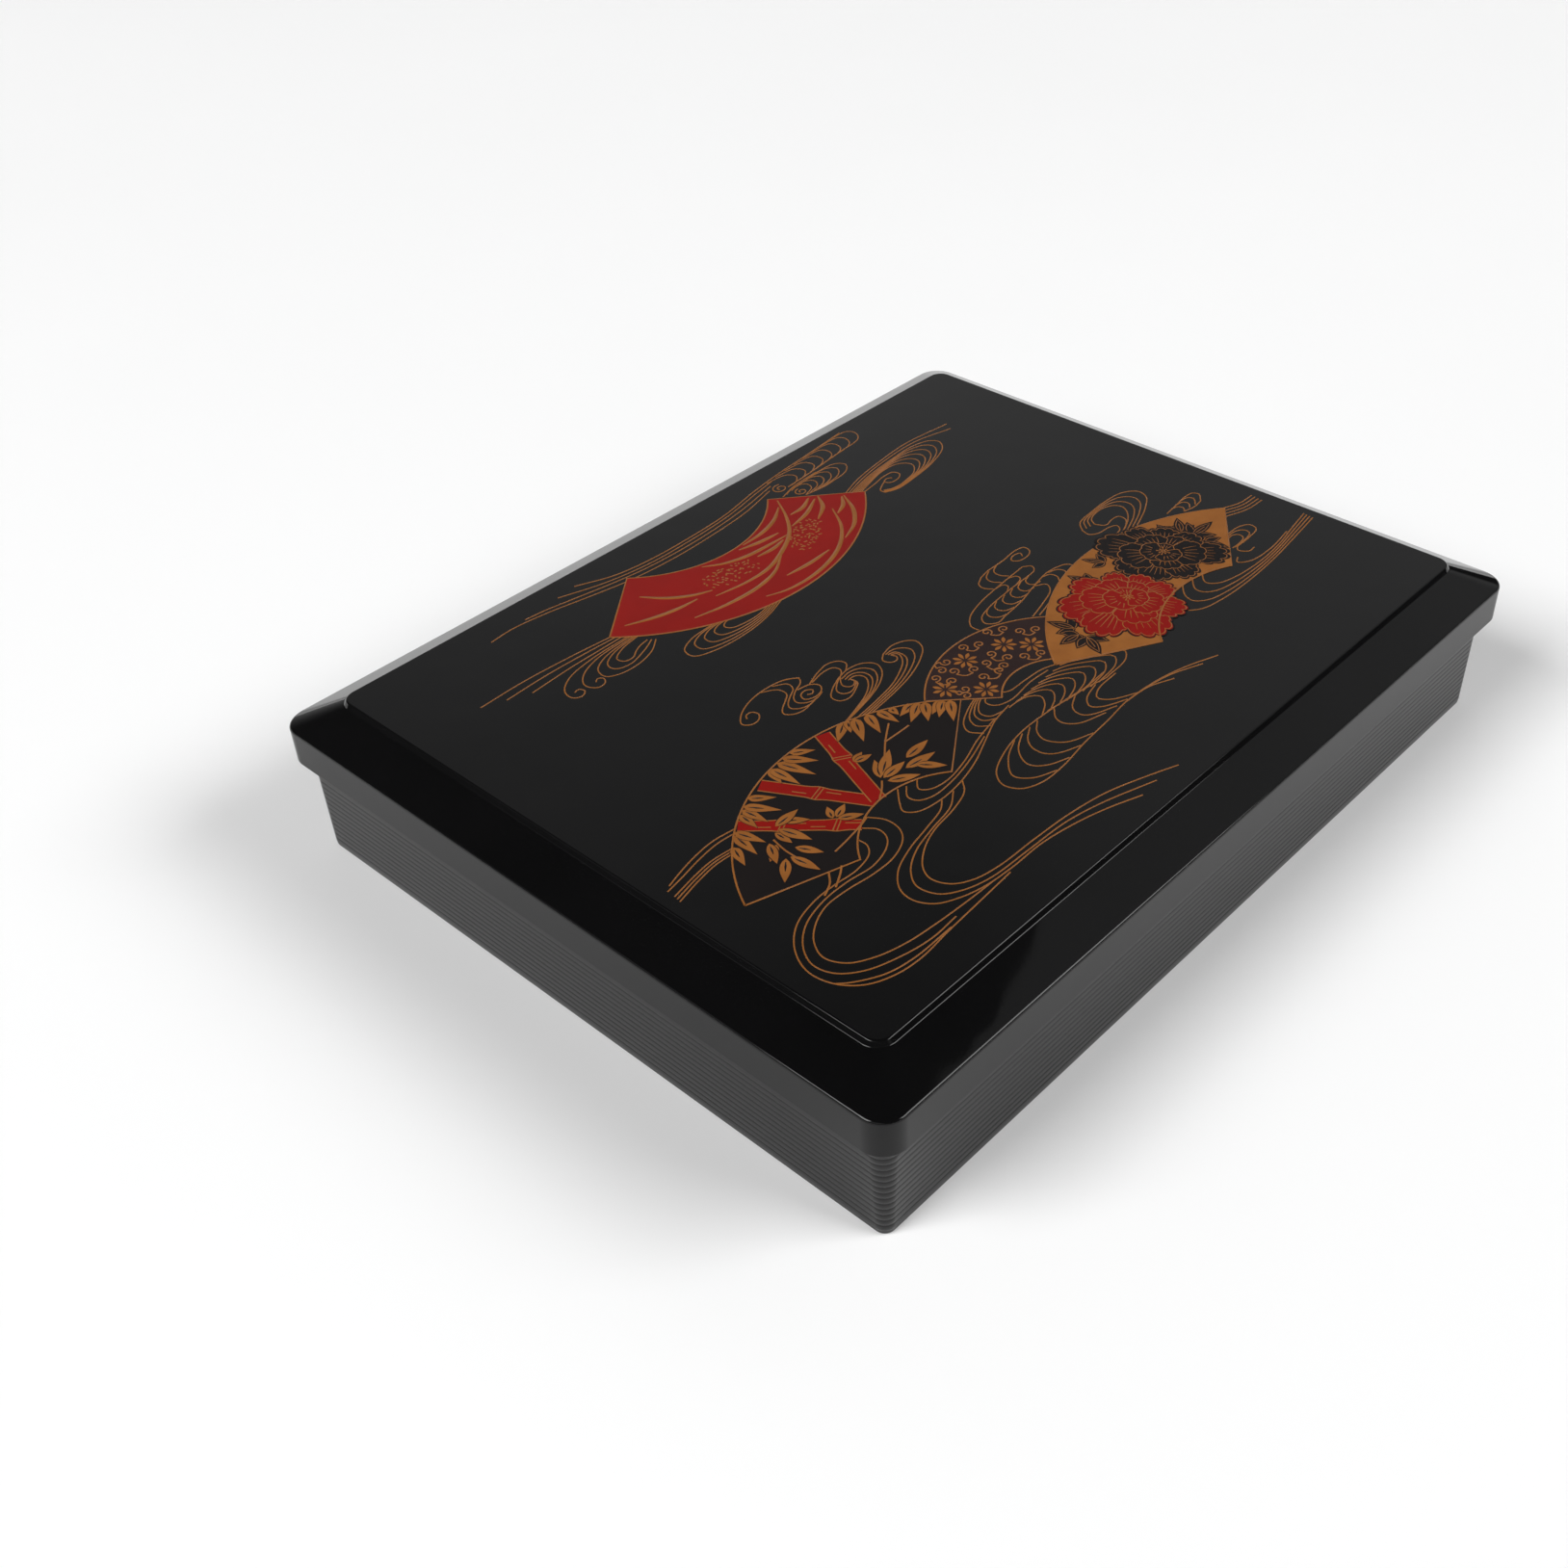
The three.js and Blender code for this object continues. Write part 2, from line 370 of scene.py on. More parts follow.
@dataclass(frozen=True)
class Finish:
    """A lacquer or an ink.

    Args:
        name: The material's name.
        tone: Its main colour, linear.
        undertone: The colour that it drifts towards, linear.
        clean: Roughness where it is untouched.
        handled: Roughness where it has been handled.
        gloss: Specular level.
        drift_scale: How many tone patches to the metre.
        peel_depth: Depth of the sprayed skin, in millimetres.
        wave_scale: How many slow waves to the metre.
        smudge_scale: How many smudges to the metre.
        fine_scale: How many grains of orange peel to the metre.
        fine_share: Height of the orange peel as a share of the waves'.
        ior: Index of refraction.
    """

    name: str
    tone: Colour
    undertone: Colour
    clean: float
    handled: float
    gloss: float = 0.5
    drift_scale: float = 25.0
    peel_depth: float = 0.02
    wave_scale: float = 55.0
    smudge_scale: float = 18.0
    fine_scale: float = 900.0
    fine_share: float = 0.02
    ior: float = 1.45

    def material(self, effects: SurfaceEffects) -> Material:
        """Builds the material.

        Args:
            effects: The shared node groups.

        Returns:
            The new material.
        """
        material = bpy.data.materials.new(self.name)
        material.use_nodes = True
        build = NodeBuilder(material.node_tree)
        shader = material.node_tree.nodes["Principled BSDF"]
        shader.inputs["IOR"].default_value = self.ior
        shader.inputs["Specular IOR Level"].default_value = self.gloss
        tones = {"Tone": (*self.tone, 1), "Undertone": (*self.undertone, 1), "Scale": self.drift_scale}
        handling = {"Clean": self.clean, "Handled": self.handled, "Scale": self.smudge_scale}
        skin = {"Fine Scale": self.fine_scale, "Wave Scale": self.wave_scale, "Fine Share": self.fine_share}
        colour = build.add("ShaderNodeGroup", tones, node_tree=effects.drift)
        rough = build.add("ShaderNodeGroup", handling, node_tree=effects.smudge)
        height = build.add("ShaderNodeGroup", skin, node_tree=effects.peel).outputs[0]
        bump = build.add("ShaderNodeBump", {"Height": height, "Distance": self.peel_depth * MM})
        for name, node in {"Base Color": colour, "Roughness": rough, "Normal": bump}.items():
            build.tree.links.new(node.outputs[0], shader.inputs[name])
        return material

    @classmethod
    def ink(cls, name: str, tone: Colour, undertone: Colour, drift_scale: float = 60.0) -> "Finish":
        """An ink, which is duller than lacquer and lies flatter."""
        return cls(name, tone, undertone, 0.34, 0.44, 0.16, drift_scale, 0.006)


BLACK_LACQUER = Finish("black lacquer", (0.0042, 0.0041, 0.0043), (0.0032, 0.0031, 0.0033), 0.1, 0.15, 0.43)
LID_LACQUER = Finish("lid lacquer", (0.0040, 0.0039, 0.0041), (0.0030, 0.0030, 0.0031), 0.025, 0.05, 0.27,
                     peel_depth=0.03, wave_scale=90.0)
DIVIDER_LACQUER = Finish("divider lacquer", (0.008, 0.0076, 0.0076), (0.006, 0.0058, 0.006), 0.28, 0.38)
VERMILION = Finish("vermilion lacquer", (0.36, 0.026, 0.014), (0.30, 0.019, 0.011), 0.24, 0.34)
INKS = {
    Ink.GOLD: Finish.ink("gold ink", (0.285, 0.103, 0.021), (0.235, 0.082, 0.016), 160.0),
    Ink.RED: Finish.ink("red ink", (0.232, 0.0032, 0.0009), (0.2, 0.0026, 0.0007)),
    Ink.DARK: Finish.ink("dark ink", (0.0078, 0.0054, 0.0052), (0.006, 0.0046, 0.0046)),
    Ink.PLUM: Finish.ink("plum ink", (0.0235, 0.0115, 0.0105), (0.018, 0.009, 0.0085)),
}


@dataclass(frozen=True)
class Knee:
    """A corner of a shell's wall section.

    Args:
        inset: How far in from the outer rectangle.
        z: Height.
        plan: Radius of the rectangle's corners, seen from above.
        edge: Radius that rounds this corner of the section.
        notch: Depth of the divider grooves at the middle of each side.
        zone: The lacquer of the band that ends here.
        ribbed: Whether ribs are raised here.
    """

    inset: float
    z: float
    plan: float
    edge: float = 0.0
    notch: float = 0.0
    zone: Zone = Zone.OUTSIDE
    ribbed: bool = False

    def at(self, inset: float, z: float) -> "Knee":
        """This corner moved to another place in the section, with no rounding."""
        return Knee(inset, z, self.plan, 0.0, self.notch, self.zone, self.ribbed)


@dataclass
class Skin:
    """A closed skin through rounded rectangles, from its lower cap round the outside to its upper cap.

    Args:
        length: Outer size along X.
        width: Outer size along Y.
        knees: The wall's section.
        centre: Where the middle of the rectangle is.
        corner_steps: Facets of each rounded corner in plan.
        edge_steps: Facets of each rounded edge in the section.
        groove_half: Half the width of the divider grooves, or 0 for none.
        groove_flare: How much wider a groove is at its mouth, on each side.
        arc_room: The share of a straight that one rounded edge may take up.
    """

    length: float
    width: float
    knees: list[Knee]
    centre: Point = (0.0, 0.0)
    corner_steps: int = 14
    edge_steps: int = 6
    groove_half: float = 0.0
    groove_flare: float = 0.12
    arc_room: float = 0.98

    def mesh(self, name: str) -> Mesh:
        """Builds the skin.

        Args:
            name: The mesh's name.

        Returns:
            The mesh, with zone and ribbed attributes.
        """
        rings = self._rounded()
        outlines = [self._outline(knee) for knee in rings]
        count = len(outlines[0])
        middle_x, middle_y = self.centre
        points = []
        for knee, outline in zip(rings, outlines):
            points += [((x + middle_x) * MM, (y + middle_y) * MM, knee.z * MM) for x, y in outline]
        lower_cap = range(count - 1, -1, -1)
        upper_cap = range(len(points) - count, len(points))
        faces = [tuple(lower_cap), *ring_faces(len(rings), count), tuple(upper_cap)]
        bands = [knee.zone for knee in rings[1:] for _ in range(count)]
        zones = [int(zone) for zone in (rings[0].zone, *bands, rings[-1].zone)]
        mesh = bpy.data.meshes.new(name)
        mesh.from_pydata(points, [], faces)
        mesh.attributes.new("zone", "INT", "FACE").data.foreach_set("value", zones)
        mesh.polygons.foreach_set("material_index", zones)
        ribbed = [float(knee.ribbed) for knee in rings for _ in range(count)]
        mesh.attributes.new("ribbed", "FLOAT", "POINT").data.foreach_set("value", ribbed)
        mesh.validate()
        return mesh

    def _rounded(self) -> list[Knee]:
        """Rounds the section.

        Returns:
            The section with each rounded corner replaced by an arc.
        """
        made: list[Knee] = [self.knees[0]]
        for before, knee, after in zip(self.knees, self.knees[1:], self.knees[2:]):
            made += self._arc(before, knee, after) if knee.edge else [knee]
        return [*made, self.knees[-1]]

    def _arc(self, before: Knee, knee: Knee, after: Knee) -> list[Knee]:
        """Rounds one corner of the section.

        Args:
            before: The corner before it.
            knee: The corner to round.
            after: The corner after it.

        Returns:
            Points of the arc.
        """
        corner = Vector((knee.inset, knee.z))
        back = Vector((before.inset, before.z)) - corner
        ahead = Vector((after.inset, after.z)) - corner
        half = back.angle(ahead) / 2
        sides = ((back, before), (ahead, after))
        room = min(side.length * (0.5 if end.edge else self.arc_room) for side, end in sides)
        reach = min(knee.edge / math.tan(half), room)
        back.normalize()
        ahead.normalize()
        middle = corner + (back + ahead).normalized() * reach / math.cos(half)
        start = corner + back * reach - middle
        end = corner + ahead * reach - middle
        sweep = math.pi - 2 * half
        arc = []
        for step in range(self.edge_steps + 1):
            t = step / self.edge_steps
            near, far = math.sin((1 - t) * sweep), math.sin(t * sweep)
            spot = middle + (start * near + end * far) / math.sin(sweep)
            arc.append(knee.at(spot.x, spot.y))
        return arc

    def _outline(self, knee: Knee) -> Path:
        """Draws one rounded rectangle.

        Args:
            knee: The corner of the section that it goes through.

        Returns:
            Its points, anticlockwise from above.
        """
        half = (self.length / 2 - knee.inset, self.width / 2 - knee.inset)
        points: Path = []
        for quarter in range(4):
            x = (half[0] - knee.plan) * (1 if quarter in (0, 3) else -1)
            y = (half[1] - knee.plan) * (1 if quarter < 2 else -1)
            for step in range(self.corner_steps + 1):
                angle = math.radians(90 * (quarter + step / self.corner_steps))
                points.append((x + knee.plan * math.cos(angle), y + knee.plan * math.sin(angle)))
            if self.groove_half:
                points += self._groove(quarter, half[1 - quarter % 2], knee.notch)
        return points

    def _groove(self, side: int, distance: float, depth: float) -> Path:
        """Points of the divider groove at the middle of a side.

        Args:
            side: Which side, anticlockwise from +Y.
            distance: How far that side is from the centre.
            depth: Depth of the groove.

        Returns:
            Four points along the side.
        """
        turn = Matrix.Rotation(math.radians(90 * side), 2)
        root, mouth = self.groove_half, self.groove_half + self.groove_flare
        local = [(mouth, 0.0), (root, depth), (-root, depth), (-mouth, 0.0)]
        return [tuple(turn @ Vector((along, distance + out))) for along, out in local]


def node_size(node: str) -> tuple[float, float]:
    """Length and width of a CAD node, in millimetres."""
    low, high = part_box(node)
    return (high.x - low.x) / MM, (high.y - low.y) / MM


@dataclass
class Lid:
    """The lift-off lid: a skirt, a sloping shoulder and a raised flat panel.

    The slope's top and the seat are an inset and a height, a cap is an inset and a corner's radius.
    """

    wall: float = 2.6
    corner: float = 8.0
    skirt_z: float = 35.1
    shoulder_z: float = 47.09
    shoulder_edge: float = 1.1
    slope_top: Point = (13.05, 53.5)
    step_edge: float = 0.6
    panel_inset: float = 14.1
    panel_z: float = 55.0
    panel_corner: float = 4.5
    panel_edge: float = 0.65
    panel_thickness: float = 2.4
    top_cap: Point = (3.0, 2.5)
    under_cap: Point = (4.0, 2.0)
    under_edge: float = 1.6
    seat: Point = (6.4, 44.4)
    seat_edge: float = 0.8
    skirt_edge: float = 0.5

    def knees(self) -> list[Knee]:
        """Draws the lid's section.

        Returns:
            Its corners, from the panel's underside to its top.
        """
        inner_corner = self.corner - self.wall
        under = self.panel_z - self.panel_thickness
        root = self.panel_inset + self.wall / 2
        step_corner = self.panel_corner + self.panel_inset - self.slope_top[0]
        inside = [
            Knee(root + self.under_cap[0], under, self.under_cap[1]),
            Knee(root, under, self.panel_corner, self.under_edge),
            Knee(*self.seat, inner_corner, self.seat_edge),
            Knee(self.wall, self.seat[1], inner_corner, self.skirt_edge),
            Knee(self.wall, self.skirt_z, inner_corner, self.skirt_edge),
        ]
        outside = [
            Knee(0.0, self.skirt_z, self.corner, self.skirt_edge),
            Knee(0.0, self.shoulder_z, self.corner, self.shoulder_edge),
            Knee(*self.slope_top, step_corner, self.step_edge),
            Knee(self.panel_inset, self.panel_z, self.panel_corner, self.panel_edge),
            Knee(self.panel_inset + self.top_cap[0], self.panel_z, self.top_cap[1]),
        ]
        return [replace(knee, zone=Zone.INSIDE) for knee in inside] + outside

    def build(self, outside: Material, inside: Material) -> None:
        """Builds the lid and dresses it.

        Args:
            outside: The lacquer of its outside.
            inside: The lacquer of its inside.
        """
        length, width = node_size("lid")
        obj = new_object("lid_shell", Skin(length, width, self.knees()).mesh("lid_shell"))
        for lacquer in (outside, inside):
            obj.data.materials.append(lacquer)
        even_normals(obj)
        hand_over(bake(obj), "lid", "lid_lacquer", "lid")


@dataclass
class BaseBox:
    """The ribbed base, with a foot, a rim band under the lid and grooves for the dividers."""

    overhang: float = 4.0
    draft: float = 0.8
    draft_height: float = 35.1
    wall: float = 2.4
    corner: float = 5.2
    foot_corner: float = 3.2
    foot_edge: float = 0.9
    first_groove: float = 1.6
    recess_inset: float = 13.5
    recess_depth: float = 1.0
    recess_corner: float = 5.2
    recess_edge: float = 0.3
    recess_cap: Point = (3.0, 3.0)
    band_inset: float = 3.2
    band_corner: float = 4.8
    band_z: Point = (37.1, 37.9)
    band_edges: Point = (0.2, 0.3)
    rim_z: float = 44.1
    rim_edges: Point = (0.6, 0.4)
    floor_z: float = 3.4
    floor_cap: float = 6.0
    rib_pitch: float = 2.1
    rib_depth: float = 0.12
    rib_crest: float = 0.64
    rib_count: int = 16
    rib_steps: tuple[float, ...] = (0.0, 0.06, 0.12, 0.18, 0.5, 0.82, 0.88, 0.94)
    groove_depth: float = 1.0
    groove_half: float = 1.6
    groove_foot: float = 0.15
    groove_step: float = 0.01

    def outer(self, z: float) -> float:
        """Inset of the ribs' crests at a height."""
        return self.overhang + self.draft * (1 - z / self.draft_height)

    def inner(self, z: float) -> float:
        """Inset of the inner wall at a height."""
        return self.outer(z) + self.wall

    def plan(self, z: float) -> float:
        """Radius of the outer wall's corners at a height."""
        return self.foot_corner + (self.corner - self.foot_corner) * z / self.draft_height

    def knees(self) -> list[Knee]:
        """Draws the base's section.

        Returns:
            Its corners, from the recess under it to its floor.
        """
        recess_cap, cap_corner = self.recess_cap
        plain = [
            Knee(self.recess_inset + recess_cap, self.recess_depth, cap_corner),
            Knee(self.recess_inset, self.recess_depth, self.recess_corner, self.recess_edge),
            Knee(self.recess_inset, 0.0, self.recess_corner, self.recess_edge),
            Knee(self.outer(0.0) + self.rib_depth, 0.0, self.foot_corner, self.foot_edge),
        ]
        ribs = []
        for rib in range(self.rib_count):
            for step in self.rib_steps:
                z = self.first_groove + (rib + step) * self.rib_pitch
                ribs.append(Knee(self.outer(z) + self.rib_depth, z, self.plan(z), ribbed=True))
        low, high = self.band_z
        inner_corner = self.corner - self.wall
        upper = [
            Knee(self.outer(low) + self.rib_depth, low, self.corner, self.band_edges[0]),
            Knee(self.band_inset, high, self.band_corner, self.band_edges[1]),
            Knee(self.band_inset, self.rim_z, self.band_corner, self.rim_edges[0]),
            Knee(self.inner(self.rim_z), self.rim_z, inner_corner, self.rim_edges[1], self.groove_depth),
        ]
        ledge = self.floor_z + self.groove_foot
        lining = [
            Knee(self.inner(ledge), ledge, inner_corner, notch=self.groove_depth),
            Knee(self.inner(ledge), ledge - self.groove_step, inner_corner),
            Knee(self.inner(self.floor_z), self.floor_z, inner_corner),
            Knee(self.inner(self.floor_z) + self.floor_cap, self.floor_z, inner_corner),
        ]
        return plain + ribs + upper + [replace(knee, zone=Zone.INSIDE) for knee in lining]

    @staticmethod
    def rib_tree() -> NodeTree:
        """Builds the geometry nodes that raise the ribs on the outer wall and set the lacquers.

        Returns:
            The tree.
        """
        build = NodeBuilder(bpy.data.node_groups.new("ribbed wall", "GeometryNodeTree"))
        sizes = dict.fromkeys(("Rib Pitch", "Rib Depth", "First Groove", "Crest Share"), Socket.FLOAT)
        lacquers = {"Lacquer": Socket.MATERIAL, "Inside Lacquer": Socket.MATERIAL}
        inputs = {"Geometry": Socket.GEOMETRY} | sizes | lacquers
        given = build.sockets(inputs, "Geometry", Socket.GEOMETRY)
        place = build.add("GeometryNodeInputPosition").outputs[0]
        height = build.add("ShaderNodeSeparateXYZ", {0: place}).outputs["Z"]
        above = build.math("SUBTRACT", height, given["First Groove"])
        turn = build.math("FRACT", build.math("DIVIDE", above, given["Rib Pitch"]))
        off_crest = build.math("ABSOLUTE", build.math("SUBTRACT", turn, 0.5))
        swell = build.rise(off_crest, 0.5, build.math("DIVIDE", given["Crest Share"], 2.0))
        mask = build.add("GeometryNodeInputNamedAttribute", {"Name": "ribbed"}, data_type="FLOAT").outputs[0]
        rise = build.math("MULTIPLY", build.math("MULTIPLY", swell, given["Rib Depth"]), mask)
        normal = build.add("GeometryNodeInputNormal").outputs[0]
        outward = build.vector("NORMALIZE", {0: build.vector("MULTIPLY", {0: normal, 1: (1, 1, 0)})})
        step = build.vector("SCALE", {0: outward, "Scale": rise})
        shaped = build.add("GeometryNodeSetPosition", {"Geometry": given["Geometry"], "Offset": step})
        dressed = build.dress(shaped.outputs[0], given["Lacquer"])
        zone = build.add("GeometryNodeInputNamedAttribute", {"Name": "zone"}, data_type="INT").outputs[0]
        lining = {"Geometry": dressed, "Selection": zone, "Material": given["Inside Lacquer"]}
        lined = build.add("GeometryNodeSetMaterial", lining)
        build.add("NodeGroupOutput", {"Geometry": lined.outputs[0]})
        return build.tree

    def build(self, outside: Material, inside: Material) -> None:
        """Builds the base and dresses it.

        Args:
            outside: The lacquer of its outside.
            inside: The lacquer of its inside.
        """
        length, width = node_size("lid")
        skin = Skin(length, width, self.knees(), groove_half=self.groove_half)
        obj = new_object("base_shell", skin.mesh("base_shell"))
        values = {
            "Rib Pitch": self.rib_pitch * MM,
            "Rib Depth": self.rib_depth * MM,
            "First Groove": self.first_groove * MM,
            "Crest Share": self.rib_crest,
            "Lacquer": outside,
            "Inside Lacquer": inside,
        }
        run_tree(obj, self.rib_tree(), values)
        even_normals(bake(obj))
        hand_over(bake(obj), "base", "black_lacquer", "base_box")


@dataclass
class Divider:
    """One of the two half-lapped boards that part the base into four cells."""

    node: str
    slot_from_top: bool
    thickness: float = 2.6
    bottom: float = 3.7
    top: float = 40.5
    slot_half: float = 1.6
    slot_clearance: float = 0.15
    end_draft: float = 0.839
    edge: float = 0.45
    edge_steps: int = 4

    def outline(self, length: float) -> Path:
        """The board's face, as length and height.

        Args:
            length: Its length at the top edge.

        Returns:
            The corners, anticlockwise.
        """
        half_top = length / 2
        half_bottom = half_top - self.end_draft
        middle = (self.bottom + self.top) / 2
        slot = self.slot_half
        if self.slot_from_top:
            end = middle - self.slot_clearance
            notch = [(slot, self.top), (slot, end), (-slot, end), (-slot, self.top)]
            bottom = [(-half_bottom, self.bottom), (half_bottom, self.bottom)]
            return [*bottom, (half_top, self.top), *notch, (-half_top, self.top)]
        end = middle + self.slot_clearance
        notch = [(-slot, self.bottom), (-slot, end), (slot, end), (slot, self.bottom)]
        top = [(half_top, self.top), (-half_top, self.top)]
        return [(-half_bottom, self.bottom), *notch, (half_bottom, self.bottom), *top]

    def build(self, lacquer: Material) -> None:
        """Builds the board with eased edges and dresses it.

        Args:
            lacquer: Its lacquer.
        """
        length = max(node_size(self.node))
        work = bmesh.new()
        half = self.thickness / 2
        front = [work.verts.new((x * MM, -half * MM, z * MM)) for x, z in self.outline(length)]
        face = work.faces.new(front)
        made = bmesh.ops.extrude_face_region(work, geom=[face])["geom"]
        moved = [item for item in made if isinstance(item, bmesh.types.BMVert)]
        bmesh.ops.translate(work, verts=moved, vec=(0, self.thickness * MM, 0))
        bmesh.ops.recalc_face_normals(work, faces=work.faces)
        if not self.slot_from_top:
            bmesh.ops.rotate(work, verts=work.verts, matrix=Matrix.Rotation(math.pi / 2, 3, "Z"))
        obj = new_object(self.node + "_board", close_work(work, self.node + "_board"))
        obj.data.materials.append(lacquer)
        bevel = obj.modifiers.new("eased edges", "BEVEL")
        bevel.width = self.edge * MM
        bevel.segments = self.edge_steps
        bevel.limit_method = "ANGLE"
        even_normals(bake(obj))
        hand_over(bake(obj), self.node, "divider_lacquer", self.node)


@dataclass
class Tray:
    """A lift-out tray, parted into wells along its length."""

    node: str
    wells: int
    bottom: float = 3.7
    floor: float = 5.7
    rim: float = 37.0
    wall: float = 2.0
    draft: float = 1.76
    corner: float = 10.0
    foot_edge: float = 3.0
    well_edge: float = 2.0
    rim_edge: float = 0.9
    partition: float = 2.0
    partition_top: float = 32.0
    partition_edge: float = 0.8
    partition_steps: int = 4
    corner_steps: int = 16
    foot_cap: float = 7.0
    floor_cap: float = 6.0
    cap_corner: float = 3.0

    def knees(self) -> list[Knee]:
        """Draws the tray's section.

        Returns:
            Its corners, from its underside to its floor.
        """
        inner = self.corner - self.wall
        foot = self.draft + self.wall
        return [
            Knee(self.draft + self.foot_cap, self.bottom, self.corner - self.cap_corner),
            Knee(self.draft, self.bottom, self.corner, self.foot_edge),
            Knee(0.0, self.rim, self.corner, self.rim_edge),
            Knee(self.wall, self.rim, inner, self.rim_edge),
            Knee(foot, self.floor, inner, self.well_edge),
            Knee(foot + self.floor_cap, self.floor, inner - self.cap_corner),
        ]

    def partition_object(self, x: float, y: float, width: float) -> Object:
        """Builds one upright partition, rooted in the tray's walls and floor.

        Args:
            x: Where it stands along the tray.
            y: The middle of the tray.
            width: The tray's width at its rim.

        Returns:
            A scratch object to be joined to the tray.
        """
        half = self.partition / 2
        low = (self.bottom + self.floor) / 2
        work = bmesh.new()
        reach = {low: width / 2 - self.draft - half, self.partition_top: width / 2 - half}
        for z, end in reach.items():
            for along, across in ((-half, -end), (half, -end), (half, end), (-half, end)):
                work.verts.new(((x + along) * MM, (y + across) * MM, z * MM))
        work.verts.ensure_lookup_table()
        for ring in ((3, 2, 1, 0), (4, 5, 6, 7), (0, 1, 5, 4), (1, 2, 6, 5), (2, 3, 7, 6), (3, 0, 4, 7)):
            work.faces.new([work.verts[i] for i in ring])
        crest = work.verts[4:]
        upper = [edge for edge in work.edges if all(v in crest for v in edge.verts)]
        long_crest = [edge for edge in upper if edge.calc_length() > 2 * self.partition * MM]
        bmesh.ops.bevel(work, geom=long_crest, offset=self.partition_edge * MM,
                        segments=self.partition_steps, profile=0.5, affect="EDGES")
        return new_object("partition", close_work(work, "partition"))

    def build(self, lacquer: Material) -> None:
        """Builds the tray and dresses it.

        Args:
            lacquer: Its lacquer.
        """
        low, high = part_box(self.node)
        length, width = node_size(self.node)
        centre = ((low.x + high.x) / 2 / MM, (low.y + high.y) / 2 / MM)
        skin = Skin(length, width, self.knees(), centre, self.corner_steps)
        obj = new_object(self.node + "_shell", skin.mesh(self.node + "_shell"))
        obj.data.materials.append(lacquer)
        pitch = (length - self.wall) / self.wells
        for i in range(1, self.wells):
            board = self.partition_object(centre[0] + (i - self.wells / 2) * pitch, centre[1], width)
            board.data.materials.append(lacquer)
            union = obj.modifiers.new("partition", "BOOLEAN")
            union.operation = "UNION"
            union.solver = "EXACT"
            union.object = board
            bake(obj)
            bpy.data.objects.remove(board)
        even_normals(obj)
        hand_over(bake(obj), self.node, "vermilion_lacquer", self.node)


def polar(centre: Point, radius: float, degrees: float) -> Point:
    """The point at a radius and an angle from a centre."""
    angle = math.radians(degrees)
    return centre[0] + radius * math.cos(angle), centre[1] + radius * math.sin(angle)


def smooth(points: Sequence[Point], step: float = 1.0) -> Path:
    """Draws an even curve through points.

    Args:
        points: The points to pass through.
        step: About how far apart the curve's own points are.

    Returns:
        The curve's points.
    """
    knots = [Vector(p) for p in points]
    if len(knots) < 3:
        return [tuple(p) for p in knots]
    knots = [2 * knots[0] - knots[1], *knots, 2 * knots[-1] - knots[-2]]
    made: Path = [tuple(knots[1])]
    for a, b, c, d in zip(knots, knots[1:], knots[2:], knots[3:]):
        ab, bc, cd = (math.sqrt(max((q - p).length, 1e-6)) for p, q in ((a, b), (b, c), (c, d)))
        leave = bc * ((b - a) / ab - (c - a) / (ab + bc) + (c - b) / bc)
        arrive = bc * ((c - b) / bc - (d - b) / (bc + cd) + (d - c) / cd)
        count = max(2, math.ceil((c - b).length / step))
        for i in range(1, count + 1):
            t = i / count
            spot = b * (2 * t**3 - 3 * t**2 + 1) + leave * (t**3 - 2 * t**2 + t)
            spot += c * (3 * t**2 - 2 * t**3) + arrive * (t**3 - t**2)
            made.append(tuple(spot))
    return made


def even_points(path: Sequence[Point], count: int) -> Path:
    """Points at even distances along a path.

    Args:
        path: The path.
        count: How many points.

    Returns:
        The points, with both ends.
    """
    gaps = [math.dist(a, b) for a, b in zip(path, path[1:])]
    total = sum(gaps)
    made, index, gone = [], 0, 0.0
    for i in range(count):
        want = total * i / (count - 1)
        while index < len(gaps) - 1 and gone + gaps[index] < want:
            gone += gaps[index]
            index += 1
        t = min(1.0, (want - gone) / max(gaps[index], 1e-9))
        a, b = path[index], path[index + 1]
        made.append((a[0] + (b[0] - a[0]) * t, a[1] + (b[1] - a[1]) * t))
    return made


def spiral(centre: Point, radius: float, start: float, sweep: float, squash: float = 1.0) -> Path:
    """A curl that winds in.

    Args:
        centre: Its middle.
        radius: Its outer radius.
        start: The angle of its outer end, in degrees.
        sweep: How far it turns, in degrees; negative turns clockwise.
        squash: Height as a share of width.

    Returns:
        Points from the outer end to the inner one.
    """
    count = max(8, int(abs(sweep) / 18))
    made = []
    for i in range(count + 1):
        t = i / count
        x, y = polar((0.0, 0.0), radius * (1 - 0.78 * t), start + sweep * t)
        made.append((centre[0] + x, centre[1] + y * squash))
    return made


def leaf(base: Point, degrees: float, length: float, width: float, belly: float = 0.85) -> Path:
    """A leaf or petal, pointed at its tip.

    Args:
        base: Where it springs from.
        degrees: Its direction.
        length: Its length.
        width: Its greatest width.
        belly: Below 1 the widest place is nearer the base, above 1 nearer the tip.

    Returns:
        Its outline.
    """
    along = Vector((math.cos(math.radians(degrees)), math.sin(math.radians(degrees))))
    across = Vector((-along.y, along.x))
    left, right = [], []
    for i in range(1, 8):
        t = i / 8
        middle = Vector(base) + along * length * t
        half = across * width / 2 * math.sin(math.pi * t**belly)
        left.append(tuple(middle - half))
        right.append(tuple(middle + half))
    return [tuple(base), *left, tuple(Vector(base) + along * length), *reversed(right)]


